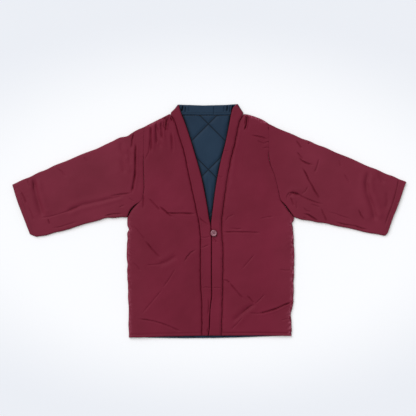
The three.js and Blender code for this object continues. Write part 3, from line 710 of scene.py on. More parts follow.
def liningPlace(u, v, w):
    top = cloth["backNeck"] - cloth["gap"]
    bottom = cloth["backHem"]
    y = mix(bottom, top, v)
    above = np.minimum(y + lining["shoulderDrop"], top + 6)
    edges = []
    for half in (rightHalf, leftHalf):
        here = outline(half, y) - half["outward"] * lining["inset"]
        higher = outline(half, above) - half["outward"] * lining["inset"]
        edges.append(np.where(np.abs(higher) < np.abs(here), higher, here))
    x = mix(edges[0], edges[1], u)
    away, run = quiltAway(x, y)
    puff = lining["puff"] * (1 - np.exp(-away / lining["pull"]))
    small = puckers(lining["gather"], run, away, lining["seed"])
    small = small + wander(lining["swell"], x, y, lining["seed"] + 0.2)
    toRight = np.abs(x - read(rightBand, "y", "edge", y))
    toBand = np.minimum(toRight, np.abs(read(leftBand, "y", "edge", y) - x))
    trench = lining["trench"]["depth"] * np.exp(-((toBand / lining["trench"]["reach"]) ** 2))
    height = cloth["liningTop"] + puff + small + foldHeight(liningFolds, x, y) - trench
    height = np.clip(height, cloth["liningFloor"] + 0.6, cloth["frontFloor"] - 0.1)
    atHem = roundRise(y - bottom + 0.4, 4)
    outer = mix(cloth["liningFloor"] + 0.6, height, atHem)
    y = y + eased(hemEase["back"], bottom, x, y)
    return x, y, np.where(w > 0.5, outer, cloth["liningFloor"])


liningPanel = makeCloth(
    "liningPanel", lining["columns"], lining["rows"], liningPlace, lining["cloth"], [navyQuilt]
)
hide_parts("back_lining")
print("lining made")


def seamAt(half, band, y):
    # the join of band and front, drawn to and fro by its stitching
    sway = np.sin(y / 5.7 + 2 * np.sin(y / 31)) * np.sin(y / 19 + half["seed"])
    sway = sway + 0.6 * np.sin(y / 11.3 + half["seed"])
    return read(band, "y", "seam", y) + half["sway"] * sway * smoothStep((360 - y) / 30)


def seamDepth(half, y):
    # how far the cloth is drawn down at that join: uneven from stitch to stitch
    uneven = 0.8 + 0.2 * np.sin(y / 4.9 + 2 * np.sin(y / 23 + half["seed"]))
    return half["bandDip"] * uneven


front = {
    "columns": 96,
    "rows": 262,
    "rim": 7,
    "seamDipWidth": 2.6,
    "sideRoll": 13,
    "roll": 11,
    "swell": (0.8, 150),
    "smallSwell": (0.3, 47),
    "calmEdge": 25,
    "hemFold": 9,
    "hemFoldWidth": 1.8,
    "gathers": {
        "side": (2, 17, 10),
        "sideFine": (1.2, 10, 8),
        "band": (0.3, 11, 8),
        "hem": (0.22, 13, 9),
        "armhole": (0.35, 14, 10),
    },
    "leastWall": 0.8,
    "edgeReach": 9,
    "cloth": (250, 765),
    "flat": (0.30, 0.80),
    "area": {"frontRight": 0.166, "frontLeft": 0.162},
}
foldsFrontRight = [
    fold("medium", (-229, 93), (-230, 68), (-230, 40)),
    fold("medium", (-214, 79), (-204, 70), (-186, 51), (-169, 33)),
    fold("strong", (-176, 51), (-158, 37), (-146, 26), (-127, 10)),
    fold("strong", (-150, 26), (-120, 25), (-85, 25), (-46, 23)),
    fold("faint", (-263, -19), (-249, -37), (-235, -54), (-221, -70)),
    fold("medium", (-228, -68), (-214, -82), (-200, -100), (-183, -119), (-169, -131)),
    fold("soft", (-179, -154), (-155, -147), (-141, -140), (-127, -131), (-113, -124)),
    fold("faint", (-218, -156), (-190, -154), (-169, -152)),
    fold("medium", (-88, -145), (-78, -128), (-64, -112), (-46, -102)),
    fold("faint", (-165, -243), (-183, -264), (-200, -285), (-218, -306), (-235, -327)),
    fold("faint", (-116, -166), (-137, -201), (-162, -236)),
    fold("medium", (-249, -343), (-218, -346), (-190, -352), (-162, -360), (-130, -373), (-99, -387)),
    fold("pleat", (-156, 371), (-155, 345), (-156, 317)),
    fold("pleat", (-152, 374), (-151, 345), (-152, 312)),
    fold("pleat", (-149, 374), (-148, 352), (-149, 324)),
    fold("tuck", (-144, 373), (-144, 359), (-144, 341)),
    fold("tuck", (-159, 359), (-158, 341), (-159, 324)),
    fold("tuck", (-140, 376), (-135, 362), (-130, 346)),
    fold("tuck", (-137, 378), (-129, 362), (-121, 341)),
    fold("slack", (-162, 366), (-160, 345), (-158, 318)),
    fold("slack", (-183, 334), (-176, 292), (-171, 250)),
    fold("drawn", (-186, 350), (-185, 310), (-183, 262)),
    fold("drawn", (-169, 346), (-167, 318), (-166, 280)),
    fold((3, 3.2, 1), (-133, 312), (-130, 275), (-127, 236)),
    fold("drawn", (-204, 332), (-204, 285), (-203, 236)),
    fold("faint", (-169, 348), (-165, 327), (-164, 313)),
    fold("faint", (-270, -145), (-253, -159), (-239, -177)),
    fold("faint", (-225, 212), (-211, 240), (-207, 282)),
]
foldsFrontLeft = [
    fold("pleat", (134, 376), (131, 352), (129, 334), (123, 315)),
    fold("tuck", (129, 373), (127, 352), (124, 331)),
    fold("medium", (146, 298), (171, 294), (188, 290), (204, 282)),
    fold("faint", (167, 280), (185, 271), (199, 266)),
    fold("faint", (185, 252), (206, 256), (220, 250)),
    fold("medium", (206, 329), (213, 313), (218, 298)),
    fold("faint", (192, 271), (206, 275), (220, 275)),
    fold("faint", (57, -2), (66, 12), (87, 21)),
    fold("faint", (73, -26), (97, -30), (115, -28)),
    fold("medium", (48, -41), (90, -40), (136, -41), (178, -43)),
    fold("faint", (178, 7), (206, 12), (223, 14)),
    fold("medium", (46, -208), (62, -210), (73, -219)),
    fold("medium", (69, -215), (90, -240), (108, -261), (122, -275)),
    fold("medium", (132, -261), (146, -276), (158, -290)),
    fold("soft", (164, -292), (143, -303), (122, -317), (101, -338), (80, -355)),
    fold("faint", (153, -294), (132, -310), (111, -329)),
    fold("faint", (118, -338), (97, -362), (76, -383)),
    fold("faint", (160, -292), (178, -275), (195, -257)),
    fold("deep", (290, -285), (262, -296), (237, -308), (206, -318), (178, -325)),
    fold("faint", (199, -322), (167, -326), (139, -324)),
    fold("faint", (251, -348), (269, -345), (290, -343)),
    fold("faint", (160, -117), (139, -142), (115, -170)),
    fold("faint", (244, -170), (269, -175), (286, -173)),
    fold("soft", (80, 282), (69, 194), (59, 107)),
    fold("soft", (94, 324), (85, 282), (76, 240)),
]


def frontPlace(half, band, folds):
    outward, seed = half["outward"], half["seed"]
    hem = cloth["frontHem"]
    top = half["shoulder"]["y"][-1] - 3
    gathers = front["gathers"]

    def place(u, v, w):
        y = mix(hem, top, rimmed(v, top - hem, front["rim"], 0.02))
        free = 1 - seamShare(half, y)
        armholeDip = read(half["armholeDip"], "y", "dip", y)
        joined = np.clip(armholeDip, 0.1, 1)
        edge = outline(half, y) + scallops(half, y) - outward * cloth["gap"] * (1 - free) * joined
        seam = seamAt(half, band, y) + outward * cloth["gap"]
        x = mix(seam, edge, rimmed(u, np.abs(edge - seam), front["rim"], 0.05))
        toSide = sideDistance(half, x - scallops(half, y), y)
        toBand = np.abs(x - seam)
        toHem = y - hem
        crown = cloth["crown"]
        for away in (toSide, toBand, toHem):
            crown = crown * (1 - np.exp(-away / cloth["crownReach"]))
        dip = seamDepth(half, y) * np.exp(-toBand / front["seamDipWidth"])
        dip = dip + (1 - free) * armholeDip * np.exp(-toSide / front["seamDipWidth"])
        fromFold = (toHem - front["hemFold"]) / front["hemFoldWidth"]
        dip = dip + half["hemFoldDepth"] * np.exp(-(fromFold**2))
        inside = smoothStep(np.minimum(toSide, toHem) / front["calmEdge"])
        swell = wander(front["swell"], x, y, seed) + wander(front["smallSwell"], x, y, seed + 2)
        small = puckers(gathers["side"], y + 0.6 * toSide, toSide, seed, free)
        small = small + puckers(gathers["sideFine"], y - 0.5 * toSide, toSide, seed + 5, free)
        small = small + puckers(gathers["band"], y, toBand, seed + 1)
        small = small + puckers(gathers["hem"], x, toHem, seed + 2)
        small = small + puckers(gathers["armhole"], y + 0.2 * toSide, toSide, seed + 3, 1 - free)
        full = cloth["frontTop"] + crown - dip + inside * swell + small * smoothStep(toSide / 5 + 0.25)
        full = full + foldHeight(folds, x, y) * smoothStep(np.minimum(toBand, toHem) / 12 + 0.2)
        # the side rolls under to the lining's height, and the hem is turned up
        sideRise = mix(1, roundRise(toSide + 0.4, front["sideRoll"]), free)
        hemRise = roundRise(toHem + 0.4, front["rim"] * 0.6)
        low = mix(cloth["liningFloor"], cloth["frontFloor"], toSide / (toSide + toHem + 0.01)) + 1
        outer = mix(low, full, sideRise * hemRise)
        turned = free * (1 - np.clip(toSide / front["roll"], 0, 1))
        inner = mix(cloth["frontFloor"], cloth["liningFloor"], turned)
        outer = np.maximum(outer, inner + front["leastWall"])
        return x, y + eased(hemEase["front"], hem, x, y), np.where(w > 0.5, outer, inner)

    return place


def toFreeSide(half, x, y):
    # distance to the side or shoulder edge, and far more beside the armhole, which is sewn
    return sideDistance(half, x - scallops(half, y), y) + 999 * seamShare(half, y)


for name, node, half, band, folds in (
    ("frontRight", "front_right", rightHalf, rightBand, foldsFrontRight),
    ("frontLeft", "front_left", leftHalf, leftBand, foldsFrontLeft),
):
    place = frontPlace(half, band, folds)
    piece = makeCloth(
        name, front["columns"], front["rows"], place, front["cloth"], [wine, navy], folds=folds
    )
    markSheenEdges(piece, lambda x, y, z: toFreeSide(half, x, y), front["edgeReach"], half["edgeShine"])
    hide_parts(node)
print("fronts made")

# sleeves: each a flat tube with a wall, one cloth folded at its top edge
sleeve = {
    "around": 168,
    "along": 124,
    "cuffThickness": 8.6,
    "wall": 2.4,
    "puff": 2.6,
    "edge": 5,
    "slitStart": 0.79,
    "slitFade": 50,
    "length": 470,
    # height of the folded edges as a share of the thickness
    "middle": 0.13,
    "leastRoom": 2,
    "swell": (0.5, 130),
    "smallSwell": (0.2, 42),
    "calm": {"edge": 25, "armhole": 20, "cuff": 12},
    # the wavy line of the folded edges, which dies out towards both ends and into the cloth
    "ripple": {"height": 0.9, "length": 12, "calm": 30, "reach": 9},
    "gathers": {"edge": (0.45, 14, 13), "armhole": (0.4, 12, 10), "cuff": (0.35, 15, 14)},
    "edgeReach": 3.2,
    "body": 300,
    "cloth": (540, 470),
    "flat": (0.64, 0.50),
    "area": {"sleeveRight": 0.22, "sleeveLeft": 0.228},
}
foldsSleeveRight = [
    fold("strong", (-263, 308), (-269, 282), (-272, 250)),
    fold("gather", (-256, 268), (-258, 229), (-258, 191), (-259, 159), (-264, 131), (-270, 96)),
    fold("medium", (-269, 96), (-291, 93), (-316, 90), (-347, 84)),
    fold("valley", (-298, 88), (-340, 77), (-389, 65), (-442, 54), (-470, 44), (-501, 30)),
    fold("faint", (-452, 51), (-501, 30), (-540, 18), (-564, 12), (-596, 9)),
    fold("broad", (-613, 149), (-608, 107), (-601, 75), (-592, 47), (-582, 12)),
    fold("faint", (-620, 145), (-613, 126), (-615, 103)),
    fold("medium", (-659, 103), (-648, 82), (-638, 58)),
    fold("faint", (-631, 47), (-620, 23), (-613, -2)),
    fold("faint", (-634, 147), (-633, 133), (-626, 117)),
    fold("soft", (-311, 275), (-304, 247), (-288, 219)),
    fold("soft", (-309, 212), (-298, 184), (-295, 163)),
    fold("soft", (-284, 254), (-277, 222), (-277, 194)),
    fold("medium", (-564, 5), (-557, -14)),
    fold("faint", (-550, -26), (-522, -23), (-494, -14), (-463, -5)),
    fold("medium", (-368, 15), (-340, 22), (-302, 24)),
    fold("faint", (-316, 46), (-295, 54)),
    fold("faint", (-281, 79), (-263, 66)),
    fold("faint", (-533, 184), (-515, 170), (-501, 152)),
    fold("faint", (-438, 222), (-424, 205)),
]
foldsSleeveLeft = [
    fold("medium", (304, 280), (316, 264), (325, 250)),
    fold("medium", (307, 240), (318, 226), (330, 212)),
    fold("strong", (312, 222), (323, 210), (339, 201), (363, 193)),
    fold("medium", (356, 278), (346, 266)),
    fold("medium", (384, 215), (377, 187), (368, 166)),
    fold("strong", (325, 186), (339, 163), (349, 140), (360, 122), (370, 102), (381, 86), (389, 72)),
    fold("faint", (347, 121), (337, 102), (321, 91)),
    fold(
        "medium", (271, 72), (272, 86), (279, 96), (293, 97), (311, 92), (328, 82), (353, 71), (374, 63),
        (398, 56),
    ),
    fold("valley", (276, 82), (293, 97), (318, 89)),
    fold("faint", (356, 58), (374, 51), (388, 46)),
    fold("medium", (284, 82), (290, 68), (297, 51)),
    fold("faint", (305, 68), (307, 40)),
    fold("faint", (328, 46), (342, 33), (356, 30)),
    fold("medium", (391, 44), (402, 19), (414, -7)),
    fold("strong", (328, 23), (346, 21), (363, 10), (384, -4)),
    fold("faint", (328, 12), (342, 4)),
    fold("faint", (416, 30), (440, 24), (472, 12), (496, 4)),
    fold("medium", (440, -5), (475, -14), (510, -19), (535, -28), (559, -33)),
    fold("medium", (522, 40), (531, 19), (545, -2)),
    fold("broad", (557, 170), (550, 131), (554, 96), (563, 72), (573, 44), (582, -2)),
    fold("soft", (591, 170), (601, 149), (612, 128)),
    fold("medium", (664, 149), (658, 117), (654, 100), (648, 79), (640, 51), (627, 19), (615, -19)),
    fold("soft", (619, 100), (626, 72), (619, 37)),
    fold("faint", (454, 212), (461, 187)),
    fold("faint", (472, 163), (493, 128)),
]


def sleeveSpot(half, s, v):
    # a flat place on the sleeve: s from armhole to cuff, v from its top edge to its bottom one
    arm, cuff = along(half["armhole"], v), along(half["cuff"], v)
    top, bottom = along(half["sleeveTop"], s), along(half["sleeveBottom"], s)
    spot = []
    for k in (0, 1):
        armTop, armBottom = along(half["armhole"], [0.0, 1.0])[k]
        cuffTop, cuffBottom = along(half["cuff"], [0.0, 1.0])[k]
        spot.append(
            (1 - s) * arm[k] + s * cuff[k] + (1 - v) * top[k] + v * bottom[k]
            - (1 - s) * (1 - v) * armTop - (1 - s) * v * armBottom
            - s * (1 - v) * cuffTop - s * v * cuffBottom
        )
    joined = np.clip(read(half["armholeDip"], "y", "dip", spot[1]), 0.1, 1)
    spot[0] = spot[0] + half["outward"] * cloth["gap"] * (1 - s) * joined
    return spot


def sleevePlace(half, folds):
    outward, seed = half["outward"], half["seed"]
    length, wall = sleeve["length"], sleeve["wall"]
    gathers, calm, wave = sleeve["gathers"], sleeve["calm"], sleeve["ripple"]

    def place(u, way, w):
        upper = u < 0.5
        part = np.where(upper, u * 2, 2 - u * 2)
        s = rimmed(way, length, 6, 0.03)
        armX, armY = sleeveSpot(half, s, np.zeros_like(s))
        lowX, lowY = sleeveSpot(half, s, np.ones_like(s))
        width = np.hypot(armX - lowX, armY - lowY)
        inset = np.where(w > 0.5, 0, wall)
        v = rimmed(part, width, sleeve["edge"], 0.06)
        v = mix(inset / width, 1 - inset / width, v)
        x, y = sleeveSpot(half, s, v)
        toEdge = np.minimum(v, 1 - v) * width
        toArm, toCuff = s * length, (1 - s) * length
        # the underarm opens a little way beside the armhole's lower end
        opening = np.sin(np.pi * np.clip((v - sleeve["slitStart"]) / (1 - sleeve["slitStart"]), 0, 1))
        slit = outward * half["slitWidth"] * opening * np.clip(1 - toArm / sleeve["slitFade"], 0, 1)
        ripple = wave["height"] * np.sin(x / wave["length"] + 1.4 * np.sin(x / 43 + seed) + seed)
        ripple = ripple * smoothStep(toArm / wave["calm"]) * smoothStep(toCuff / wave["calm"])
        y = y + ripple * (np.exp(-v * width / wave["reach"]) + np.exp(-(1 - v) * width / wave["reach"]))
        thickness = mix(cloth["frontTop"], sleeve["cuffThickness"], s)
        middle = thickness * sleeve["middle"]
        puff = sleeve["puff"] * np.sin(np.pi * v) ** 0.7 * (1 - 0.6 * s)
        puff = puff * (1 - np.exp(-toArm / cloth["crownReach"]))
        swell = wander(sleeve["swell"], x, y, seed + 5) + wander(sleeve["smallSwell"], x, y, seed + 6)
        inside = smoothStep(toEdge / calm["edge"]) * smoothStep(toArm / calm["armhole"])
        inside = inside * smoothStep(toCuff / calm["cuff"] + 0.3)
        small = puckers(gathers["edge"], x * outward, toEdge, seed + 4)
        small = small + puckers(gathers["armhole"], v * width, toArm, seed + 6)
        small = small + puckers(gathers["cuff"], v * width, toCuff, seed + 7)
        dip = read(half["armholeDip"], "y", "dip", y) * np.exp(-toArm / front["seamDipWidth"])
        full = thickness + puff + inside * swell + small * smoothStep(toEdge / 6)
        full = full - dip + foldHeight(folds, x, y) * smoothStep(toEdge / 12 + 0.15)
        full = np.maximum(full, middle + sleeve["leastRoom"])
        bow = roundRise(toEdge + 0.05, sleeve["edge"])
        outerTop = mix(middle, full, bow)
        outerLow = mix(middle, 0, bow)
        innerBow = roundRise(toEdge - wall + 0.05, sleeve["edge"])
        innerTop = mix(middle, np.maximum(full - wall, middle + 0.4), innerBow)
        innerLow = mix(middle, np.minimum(wall, middle - 0.4), innerBow)
        top = np.where(w > 0.5, outerTop, innerTop)
        low = np.where(w > 0.5, outerLow, innerLow)
        return np.where(upper, x + slit, x), y, np.where(upper, top, low)

    return place


def toFoldedEdge(x, y, z):
    # height over the table, where the folded edges lie low, and far more beside the body
    return z + 99 * (np.abs(x) < sleeve["body"])


for name, node, half, folds in (
    ("sleeveRight", "sleeve_right", rightHalf, foldsSleeveRight),
    ("sleeveLeft", "sleeve_left", leftHalf, foldsSleeveLeft),
):
    piece = makeCloth(
        name, sleeve["around"], sleeve["along"], sleevePlace(half, folds), sleeve["cloth"],
        [wine, shadedWineCloth, navy], tube=True, turnedIn=0.2, folds=folds,
    )
    markSheenEdges(piece, toFoldedEdge, sleeve["edgeReach"])
    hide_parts(node)
print("sleeves made")

# collar band: two long stretches down the fronts and the one behind the neck
bands = {
    "columns": 16,
    "rows": 260,
    "height": 5.6,
    "rim": 4.5,
    "closingGap": 0.55,
    "lap": {"from": -215, "full": -262, "rise": 1.7, "width": 12},
    "swell": (0.25, 60),
    "gathers": {"seam": (0.22, 10, 7), "edge": (0.12, 12, 6)},
    "leastWall": 0.8,
    "cloth": (36, 800),
    "flat": (0.055, 0.81),
    "area": 0.0325,
}
foldsBandRight = [
    fold((1.7, 2.2, 0.4), (-39, 16), (-25, 0), (-8, -12), (-1, -19)),
    fold((1.6, 1.6, 0.3), (-33, -58), (-15, -60), (4, -57)),
    fold((1.7, 1.8, 0.3), (-32, -96), (-18, -93), (0, -84)),
    fold((1.6, 1.5, 0.3), (-25, -235), (-11, -233), (6, -236)),
    fold((1.7, 2.4, 0.3), (-3, -270), (-1, -300), (-4, -332)),
    fold((1.7, 2.6, 0.3), (-3, -376), (-6, -384), (-2, -392)),
]
foldsBandLeft = [
    fold((1.6, 1.4, 0.3), (12, -236), (27, -234), (42, -237)),
    fold((1.7, 2.4, 0.4), (14, -62), (22, -70), (27, -78)),
    fold((1.7, 2.4, 0.4), (12, -58), (14, -66), (14, -76)),
    fold((1.6, 1, 0.2), (34, 247), (48, 242), (69, 243)),
    fold((1.6, 1, 0.2), (30, 158), (42, 150), (50, 156)),
]


def bandPlace(half, band, folds):
    outward, seed = half["outward"], half["seed"] + 0.6
    bottom, top = band["y"][0], band["y"][-1]
    lap = bands["lap"]

    def place(u, v, w):
        y = mix(bottom, top, rimmed(v, top - bottom, bands["rim"], 0.015))
        closed = smoothStep((-20 - y) / 20)
        edge = read(band, "y", "edge", y) + outward * mix(cloth["gap"] / 2, bands["closingGap"], closed)
        seam = seamAt(half, band, y)
        # towards the hem the wearer's left band lies a little over the right one
        lapped = smoothStep((lap["from"] - y) / (lap["from"] - lap["full"]))
        width = np.abs(seam - edge)
        x = mix(edge, seam, rimmed(u, width, bands["rim"], 0.18))
        toEdge, toSeam = np.abs(x - edge), np.abs(x - seam)
        inside = np.minimum(np.minimum(toEdge, toSeam), np.minimum(y - bottom, top - y))
        small = wander(bands["swell"], x, y, seed) + puckers(bands["gathers"]["seam"], y, toSeam, seed)
        small = small + puckers(bands["gathers"]["edge"], y, toEdge, seed + 1)
        height = bands["height"] - 1 + small + foldHeight(folds, x, y) * 0.9
        lift = lap["rise"] * lapped * np.exp(-toEdge / lap["width"]) * outward
        height = height + lift - 0.5 * seamDepth(half, y) * np.exp(-toSeam / front["seamDipWidth"])
        outer = cloth["frontFloor"] + 1 + height * roundRise(inside + 0.3, bands["rim"])
        inner = cloth["frontFloor"] + np.maximum(0, lift * 0.8)
        outer = np.maximum(outer, inner + bands["leastWall"])
        return x, y + eased(hemEase["front"], bottom, x, y), np.where(w > 0.5, outer, inner)

    return place


for name, node, half, band, folds in (
    ("bandRight", "band_right", rightHalf, rightBand, foldsBandRight),
    ("bandLeft", "band_left", leftHalf, leftBand, foldsBandLeft),
):
    place = bandPlace(half, band, folds)
    piece = makeCloth(
        name, bands["columns"], bands["rows"], place, bands["cloth"], [wine, navy], folds=folds
    )
    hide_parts(node)

neck = {
    "columns": 110,
    "rows": 18,
    "rim": 4.5,
    "height": 6.8,
    "ends": table("y left right", (368.8, -131, 115), (375, -134, 118), (390, -121, 109), (403, -110, 100)),
    "rise": table("x rise", (-111, 3), (-20, 0), (60, 2), (101, 5)),
    "swell": (0.2, 40),
    "gather": (0.25, 10, 6),
    "cloth": (246, 33),
    "flat": (0.25, 0.04),
    "area": 0.0099,
}
foldsNeck = [
    fold((2.2, 4.2, 0.6), (-91, 403), (-94, 390), (-99, 380)),
    fold((1.9, 2.6, 0.5), (-84, 398), (-83, 386), (-84, 376)),
    fold((1.7, 1.8, 0.3), (-71, 396), (-72, 388), (-70, 380)),
    fold((2, 3.2, 0.5), (61, 403), (64, 392), (60, 380)),
    fold((1.7, 1.8, 0.3), (52, 400), (52, 388), (50, 378)),
    fold((1.7, 2, 0.3), (74, 399), (72, 390), (73, 378)),
    fold((2.2, 4, 0.6), (84, 402), (82, 390), (80, 376)),
    fold((1.7, 1.8, 0.4), (16, 402), (16, 386), (16, 368)),
]


def neckPlace(u, v, w):
    ends = neck["ends"]
    low, high = ends["y"][0], ends["y"][-1]
    y = mix(low, high, rimmed(v, high - low, neck["rim"], 0.2))
    left, right = read(ends, "y", "left", y), read(ends, "y", "right", y)
    x = mix(left, right, rimmed(u, right - left, neck["rim"], 0.05))
    inside = np.minimum(np.minimum(x - left, right - x), np.minimum(high - y, y - low + 1))
    small = wander(neck["swell"], x, y, 5.3) + puckers(neck["gather"], x, y - low, 1.1)
    height = neck["height"] - 1.2 + small + foldHeight(foldsNeck, x, y)
    outer = 1 + height * roundRise(inside + 0.3, neck["rim"])
    rise = np.interp(x, neck["rise"]["x"], neck["rise"]["rise"]) * (y - low) / (high - low)
    return x, y + rise, np.where(w > 0.5, np.maximum(outer, 0.8), 0)


bandNeck = makeCloth(
    "bandNeck", neck["columns"], neck["rows"], neckPlace, neck["cloth"], [navy], folds=foldsNeck
)
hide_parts("band_neck")
print("bands made")

# button with four holes, and the loop that holds it closed
button = {
    "x": 15.5,
    "y": -44,
    "base": 15.7,
    "radius": 11,
    "height": 4.2,
    "dish": 1.8,
    "rim": 2.4,
    "hole": 1.2,
    "spacing": 1.9,
    "steps": 72,
    "thread": 0.45,
    "threadSink": 0.9,
    "threadArch": 1.3,
    "look": {"dark": "#7d4a56", "light": "#96646f", "swirl": 9, "roughness": 0.3},
}
resin = polishedResin("polished polyester resin", button["look"])


def turnedDisc():
    # a lathe turns the section round: a rounded edge, a raised rim and a dished middle
    radius, height, rim, dish = button["radius"], button["height"], button["rim"], button["dish"]
    section = [
        (0, 0),
        (radius * 0.74, 0),
        (radius * 0.9, height * 0.12),
        (radius * 0.98, height * 0.34),
        (radius, height * 0.56),
        (radius * 0.975, height * 0.8),
        (radius - rim * 0.5, height * 0.96),
        (radius - rim * 0.9, height),
        (radius - rim * 1.35, height * 0.93),
        (radius - rim * 1.8, height - dish * 0.8),
        (radius - rim * 2.3, height - dish),
        (0, height - dish),
    ]
    bm = bmesh.new()
    verts = [bm.verts.new((x * mm, 0, z * mm)) for x, z in section]
    edges = [bm.edges.new(pair) for pair in zip(verts, verts[1:])]
    bmesh.ops.spin(
        bm, geom=verts + edges, axis=(0, 0, 1), cent=(0, 0, 0), angle=2 * math.pi,
        steps=button["steps"], use_merge=True,
    )
    bmesh.ops.remove_doubles(bm, verts=bm.verts, dist=1e-6)
    bmesh.ops.recalc_face_normals(bm, faces=bm.faces)
    return finishMesh(bm, "buttonDisc", [resin])


def drillHoles(piece):
    # four holes right through the disc, which then moves to its place
    bm = bmesh.new()
    for x in (-1, 1):
        for y in (-1, 1):
            spot = (x * button["spacing"] * mm, y * button["spacing"] * mm, button["height"] * 0.5 * mm)
            bmesh.ops.create_cone(
                bm, cap_ends=True, segments=24, radius1=button["hole"] * mm, radius2=button["hole"] * mm,
                depth=3 * button["height"] * mm, matrix=Matrix.Translation(spot),
            )
    mesh = bpy.data.meshes.new("button holes")
    bm.to_mesh(mesh)
    bm.free()
    cutter = bpy.data.objects.new("button holes", mesh)
    bpy.context.scene.collection.objects.link(cutter)
    cut = piece.modifiers.new("holes", "BOOLEAN")
    cut.operation = "DIFFERENCE"
    cut.object = cutter
    made = bpy.data.meshes.new_from_object(piece.evaluated_get(bpy.context.evaluated_depsgraph_get()))
    piece.modifiers.clear()
    piece.data = made
    bpy.data.objects.remove(cutter)
    made.transform(Matrix.Translation((button["x"] * mm, button["y"] * mm, button["base"] * mm)))
    for face in made.polygons:
        face.use_smooth = abs(face.normal.z) < 0.999


buttonDisc = turnedDisc()
drillHoles(buttonDisc)
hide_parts("button")


def roundCord(name, points, radius, material, sides=10):
    # a round cord or thread through points, with closed ends
    curve = bpy.data.curves.new(name, "CURVE")
    curve.dimensions = "3D"
    curve.bevel_depth = radius * mm
    curve.bevel_resolution = max(1, sides // 4)
    curve.use_fill_caps = True
    line = curve.splines.new("POLY")
    line.points.add(len(points) - 1)
    for point, spot in zip(line.points, points):
        point.co = (*[value * mm for value in spot], 1)
    shape = bpy.data.objects.new(name, curve)
    mesh = bpy.data.meshes.new_from_object(shape)
    bpy.data.objects.remove(shape)
    for face in mesh.polygons:
        face.use_smooth = True
    mesh.materials.clear()
    mesh.materials.append(material)
    piece = bpy.data.objects.new(name, mesh)
    bpy.context.scene.collection.objects.link(piece)
    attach(piece, "root")
    return piece


buttonLoop = {"from": 5.5, "reach": 13.5, "halfWidth": 6.5, "radius": 1.2, "drop": 1.3, "height": 14.1}
turns = [math.pi * (k / 28 - 0.5) for k in range(29)]
loopPoints = [
    (
        buttonLoop["from"] + buttonLoop["reach"] * math.cos(turn),
        button["y"] + buttonLoop["halfWidth"] * math.sin(turn),
        buttonLoop["height"] - buttonLoop["drop"] * (1 - math.cos(turn)) ** 3,
    )
    for turn in turns
]
loopPiece = roundCord("buttonLoop", loopPoints, buttonLoop["radius"], wine)
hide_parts("button_loop")

# two stitches of thread through the holes, each a low arch over the dished middle
spacing, dished = button["spacing"], button["base"] + button["height"] - button["dish"]
for number, side in enumerate((-1, 1)):
    points = []
    for part in np.linspace(0, 1, 9):
        points.append((
            button["x"] + spacing * side,
            button["y"] + mix(-spacing, spacing, part),
            dished - button["threadSink"] + button["threadArch"] * math.sin(math.pi * part) ** 0.5,
        ))
    thread = roundCord(f"buttonThread{number + 1}", points, button["thread"], wineThread, sides=6)
print("button made")

# rows of stitching: how one stitch is made, and how far it stands above its cloth
stitch = {"length": 2.6, "pitch": 3.4, "radius": 0.28, "stand": 0.12}


def stitchRow(name, rows, material):
    # short raised stitches, a pitch apart, along each row of places in millimetres
    length, radius = stitch["length"] / 2 * mm, stitch["radius"] * mm
    bm = bmesh.new()
    count = 0
    for row in rows:
        steps = np.hypot(*np.diff(row[:, :2], axis=0).T)
        distance = np.concatenate([[0], np.cumsum(steps)])
        for start in np.arange(stitch["pitch"], distance[-1] - stitch["pitch"], stitch["pitch"]):
            here = [np.interp(start, distance, row[:, k]) for k in range(3)]
            ahead = [np.interp(start + 1, distance, row[:, k]) for k in range(3)]
            way = Vector([b - a for a, b in zip(here, ahead)])
            turn = way.to_track_quat("X", "Z").to_matrix().to_4x4()
            spot = Matrix.Translation([value * mm for value in here])
            size = Matrix.Diagonal((length, radius, radius, 1))
            bmesh.ops.create_uvsphere(bm, u_segments=6, v_segments=4, radius=1, matrix=spot @ turn @ size)
            count += 1
    finishMesh(bm, name, [material])
    return count


def surfaceRow(place, line):
    # places on a cloth's outer face, along a line that is straight in the cloth's own parts
    run = np.linspace(line["from"], line["to"], line["points"])
    still = np.full_like(run, line["at"])
    u, v = (still, run) if line["lengthwise"] else (run, still)
    x, y, z = place(u, v, np.ones_like(u))
    return np.column_stack([x, y, z + stitch["stand"]])


frontPlaces = [
    frontPlace(rightHalf, rightBand, foldsFrontRight), frontPlace(leftHalf, leftBand, foldsFrontLeft),
]
bandPlaces = [
    bandPlace(rightHalf, rightBand, foldsBandRight), bandPlace(leftHalf, leftBand, foldsBandLeft),
]
cuffPlaces = [sleevePlace(rightHalf, foldsSleeveRight), sleevePlace(leftHalf, foldsSleeveLeft)]
hemLine = {"lengthwise": False, "at": 0.0225, "from": 0.03, "to": 0.97, "points": 90}
bandLine = {"lengthwise": True, "at": 0.76, "from": 0.02, "to": 0.985, "points": 260}
cuffLine = {"lengthwise": False, "at": 0.945, "from": 0.03, "to": 0.47, "points": 70}
neckLine = {"lengthwise": False, "at": 0.3, "from": 0.08, "to": 0.92, "points": 80}
stitches = 0
for name, places, line, material, slot in (
    ("hemStitches", frontPlaces, hemLine, wineThread, "shell"),
    ("bandStitches", bandPlaces, bandLine, wineThread, "shell"),
    ("cuffStitches", cuffPlaces, cuffLine, wineThread, "shell"),
    ("neckStitches", [neckPlace], neckLine, navyThread, "lining"),
):
    stitches += stitchRow(name, [surfaceRow(place, line) for place in places], material)
print("stitches:", stitches)

# floor, light and camera
studio = {
    "floor": "#f0f2f6",
    "floorSize": 30,
    "floorDrop": 0.0004,
    "grainsPerMetre": 900,
    "glow": "#fff3da",
    "glowStrength": 0.135,
    "glowReach": (1.33, 0.76),
    "sky": "#f6f9ff",
    "skyStrength": 0.42,
    "keyStrength": 2.27,
    "keySoftness": 55,
    "keyFrom": (-0.5, 0.66, 1.08),
    "cameraHeight": 4.0,
    "frameWidth": 1.456,
    "centre": (-0.0044, 0.04375),
}

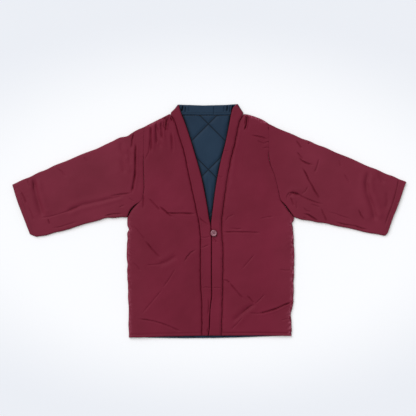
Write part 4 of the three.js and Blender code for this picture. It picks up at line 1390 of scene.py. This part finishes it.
bpy.ops.mesh.primitive_plane_add(size=studio["floorSize"], location=(0, 0, -studio["floorDrop"]))
floor = bpy.context.object
floor.name = "floor"
# uncoated paper: matt, with a fine even grain
paper = newMaterial("matt white studio paper")
paperPlace = add(paper, "TexCoord").outputs["Object"]
paperGrain = add(paper, "TexNoise", {
    "Vector": paperPlace, "Scale": studio["grainsPerMetre"], "Detail": 3,
})
paperBump = add(paper, "Bump", {"Height": paperGrain, "Strength": 0.05, "Distance": 0.2 * mm})
# the paper itself glows, a painted light with no lamp behind it, most below the garment and fading to the
# corners, lightening the shade around the garment
reachX, reachY = studio["glowReach"]
spread = add(paper, "Mapping", {"Vector": paperPlace, "Scale": (1 / reachX, 1 / reachY, 0)})
halo = add(paper, "TexGradient", {"Vector": spread}, gradient_type="SPHERICAL")
glow = add(paper, "MapRange", {
    "Value": halo.outputs["Fac"],
    "From Min": 0.03,
    "From Max": 0.5,
    "To Min": 0.0,
    "To Max": studio["glowStrength"],
}, interpolation_type="SMOOTHSTEP")
paperShader = add(paper, "BsdfPrincipled", {
    "Base Color": linear(studio["floor"]),
    "Emission Color": linear(studio["glow"]),
    "Emission Strength": glow,
    "Roughness": 0.9,
    "Specular IOR Level": 0.1,
    "Normal": paperBump,
})
add(paper, "OutputMaterial", {"Surface": paperShader})
floor.data.materials.append(paper)

world = bpy.data.worlds.new("soft white room")
bpy.context.scene.world = world
world.use_nodes = True
room = world.node_tree.nodes["Background"]
room.inputs["Color"].default_value = linear(studio["sky"])
room.inputs["Strength"].default_value = studio["skyStrength"]

# one large softbox a long way off, high on the wearer's right
keyLight = bpy.data.lights.new("key", "SUN")
keyLight.energy = studio["keyStrength"]
keyLight.angle = math.radians(studio["keySoftness"])
key = bpy.data.objects.new("key", keyLight)
key.rotation_euler = (-Vector(studio["keyFrom"])).to_track_quat("-Z", "Y").to_euler()
bpy.context.scene.collection.objects.link(key)

lens = bpy.data.cameras.new("camera")
lens.sensor_width = 36
lens.lens = 36 * studio["cameraHeight"] / studio["frameWidth"]
camera = bpy.data.objects.new("camera", lens)
camera.location = (*studio["centre"], studio["cameraHeight"] + 0.006)
bpy.context.scene.collection.objects.link(camera)
bpy.context.scene.camera = camera
bpy.context.scene.view_settings.view_transform = "Standard"
bpy.context.scene.view_settings.look = "None"

print("scene made")
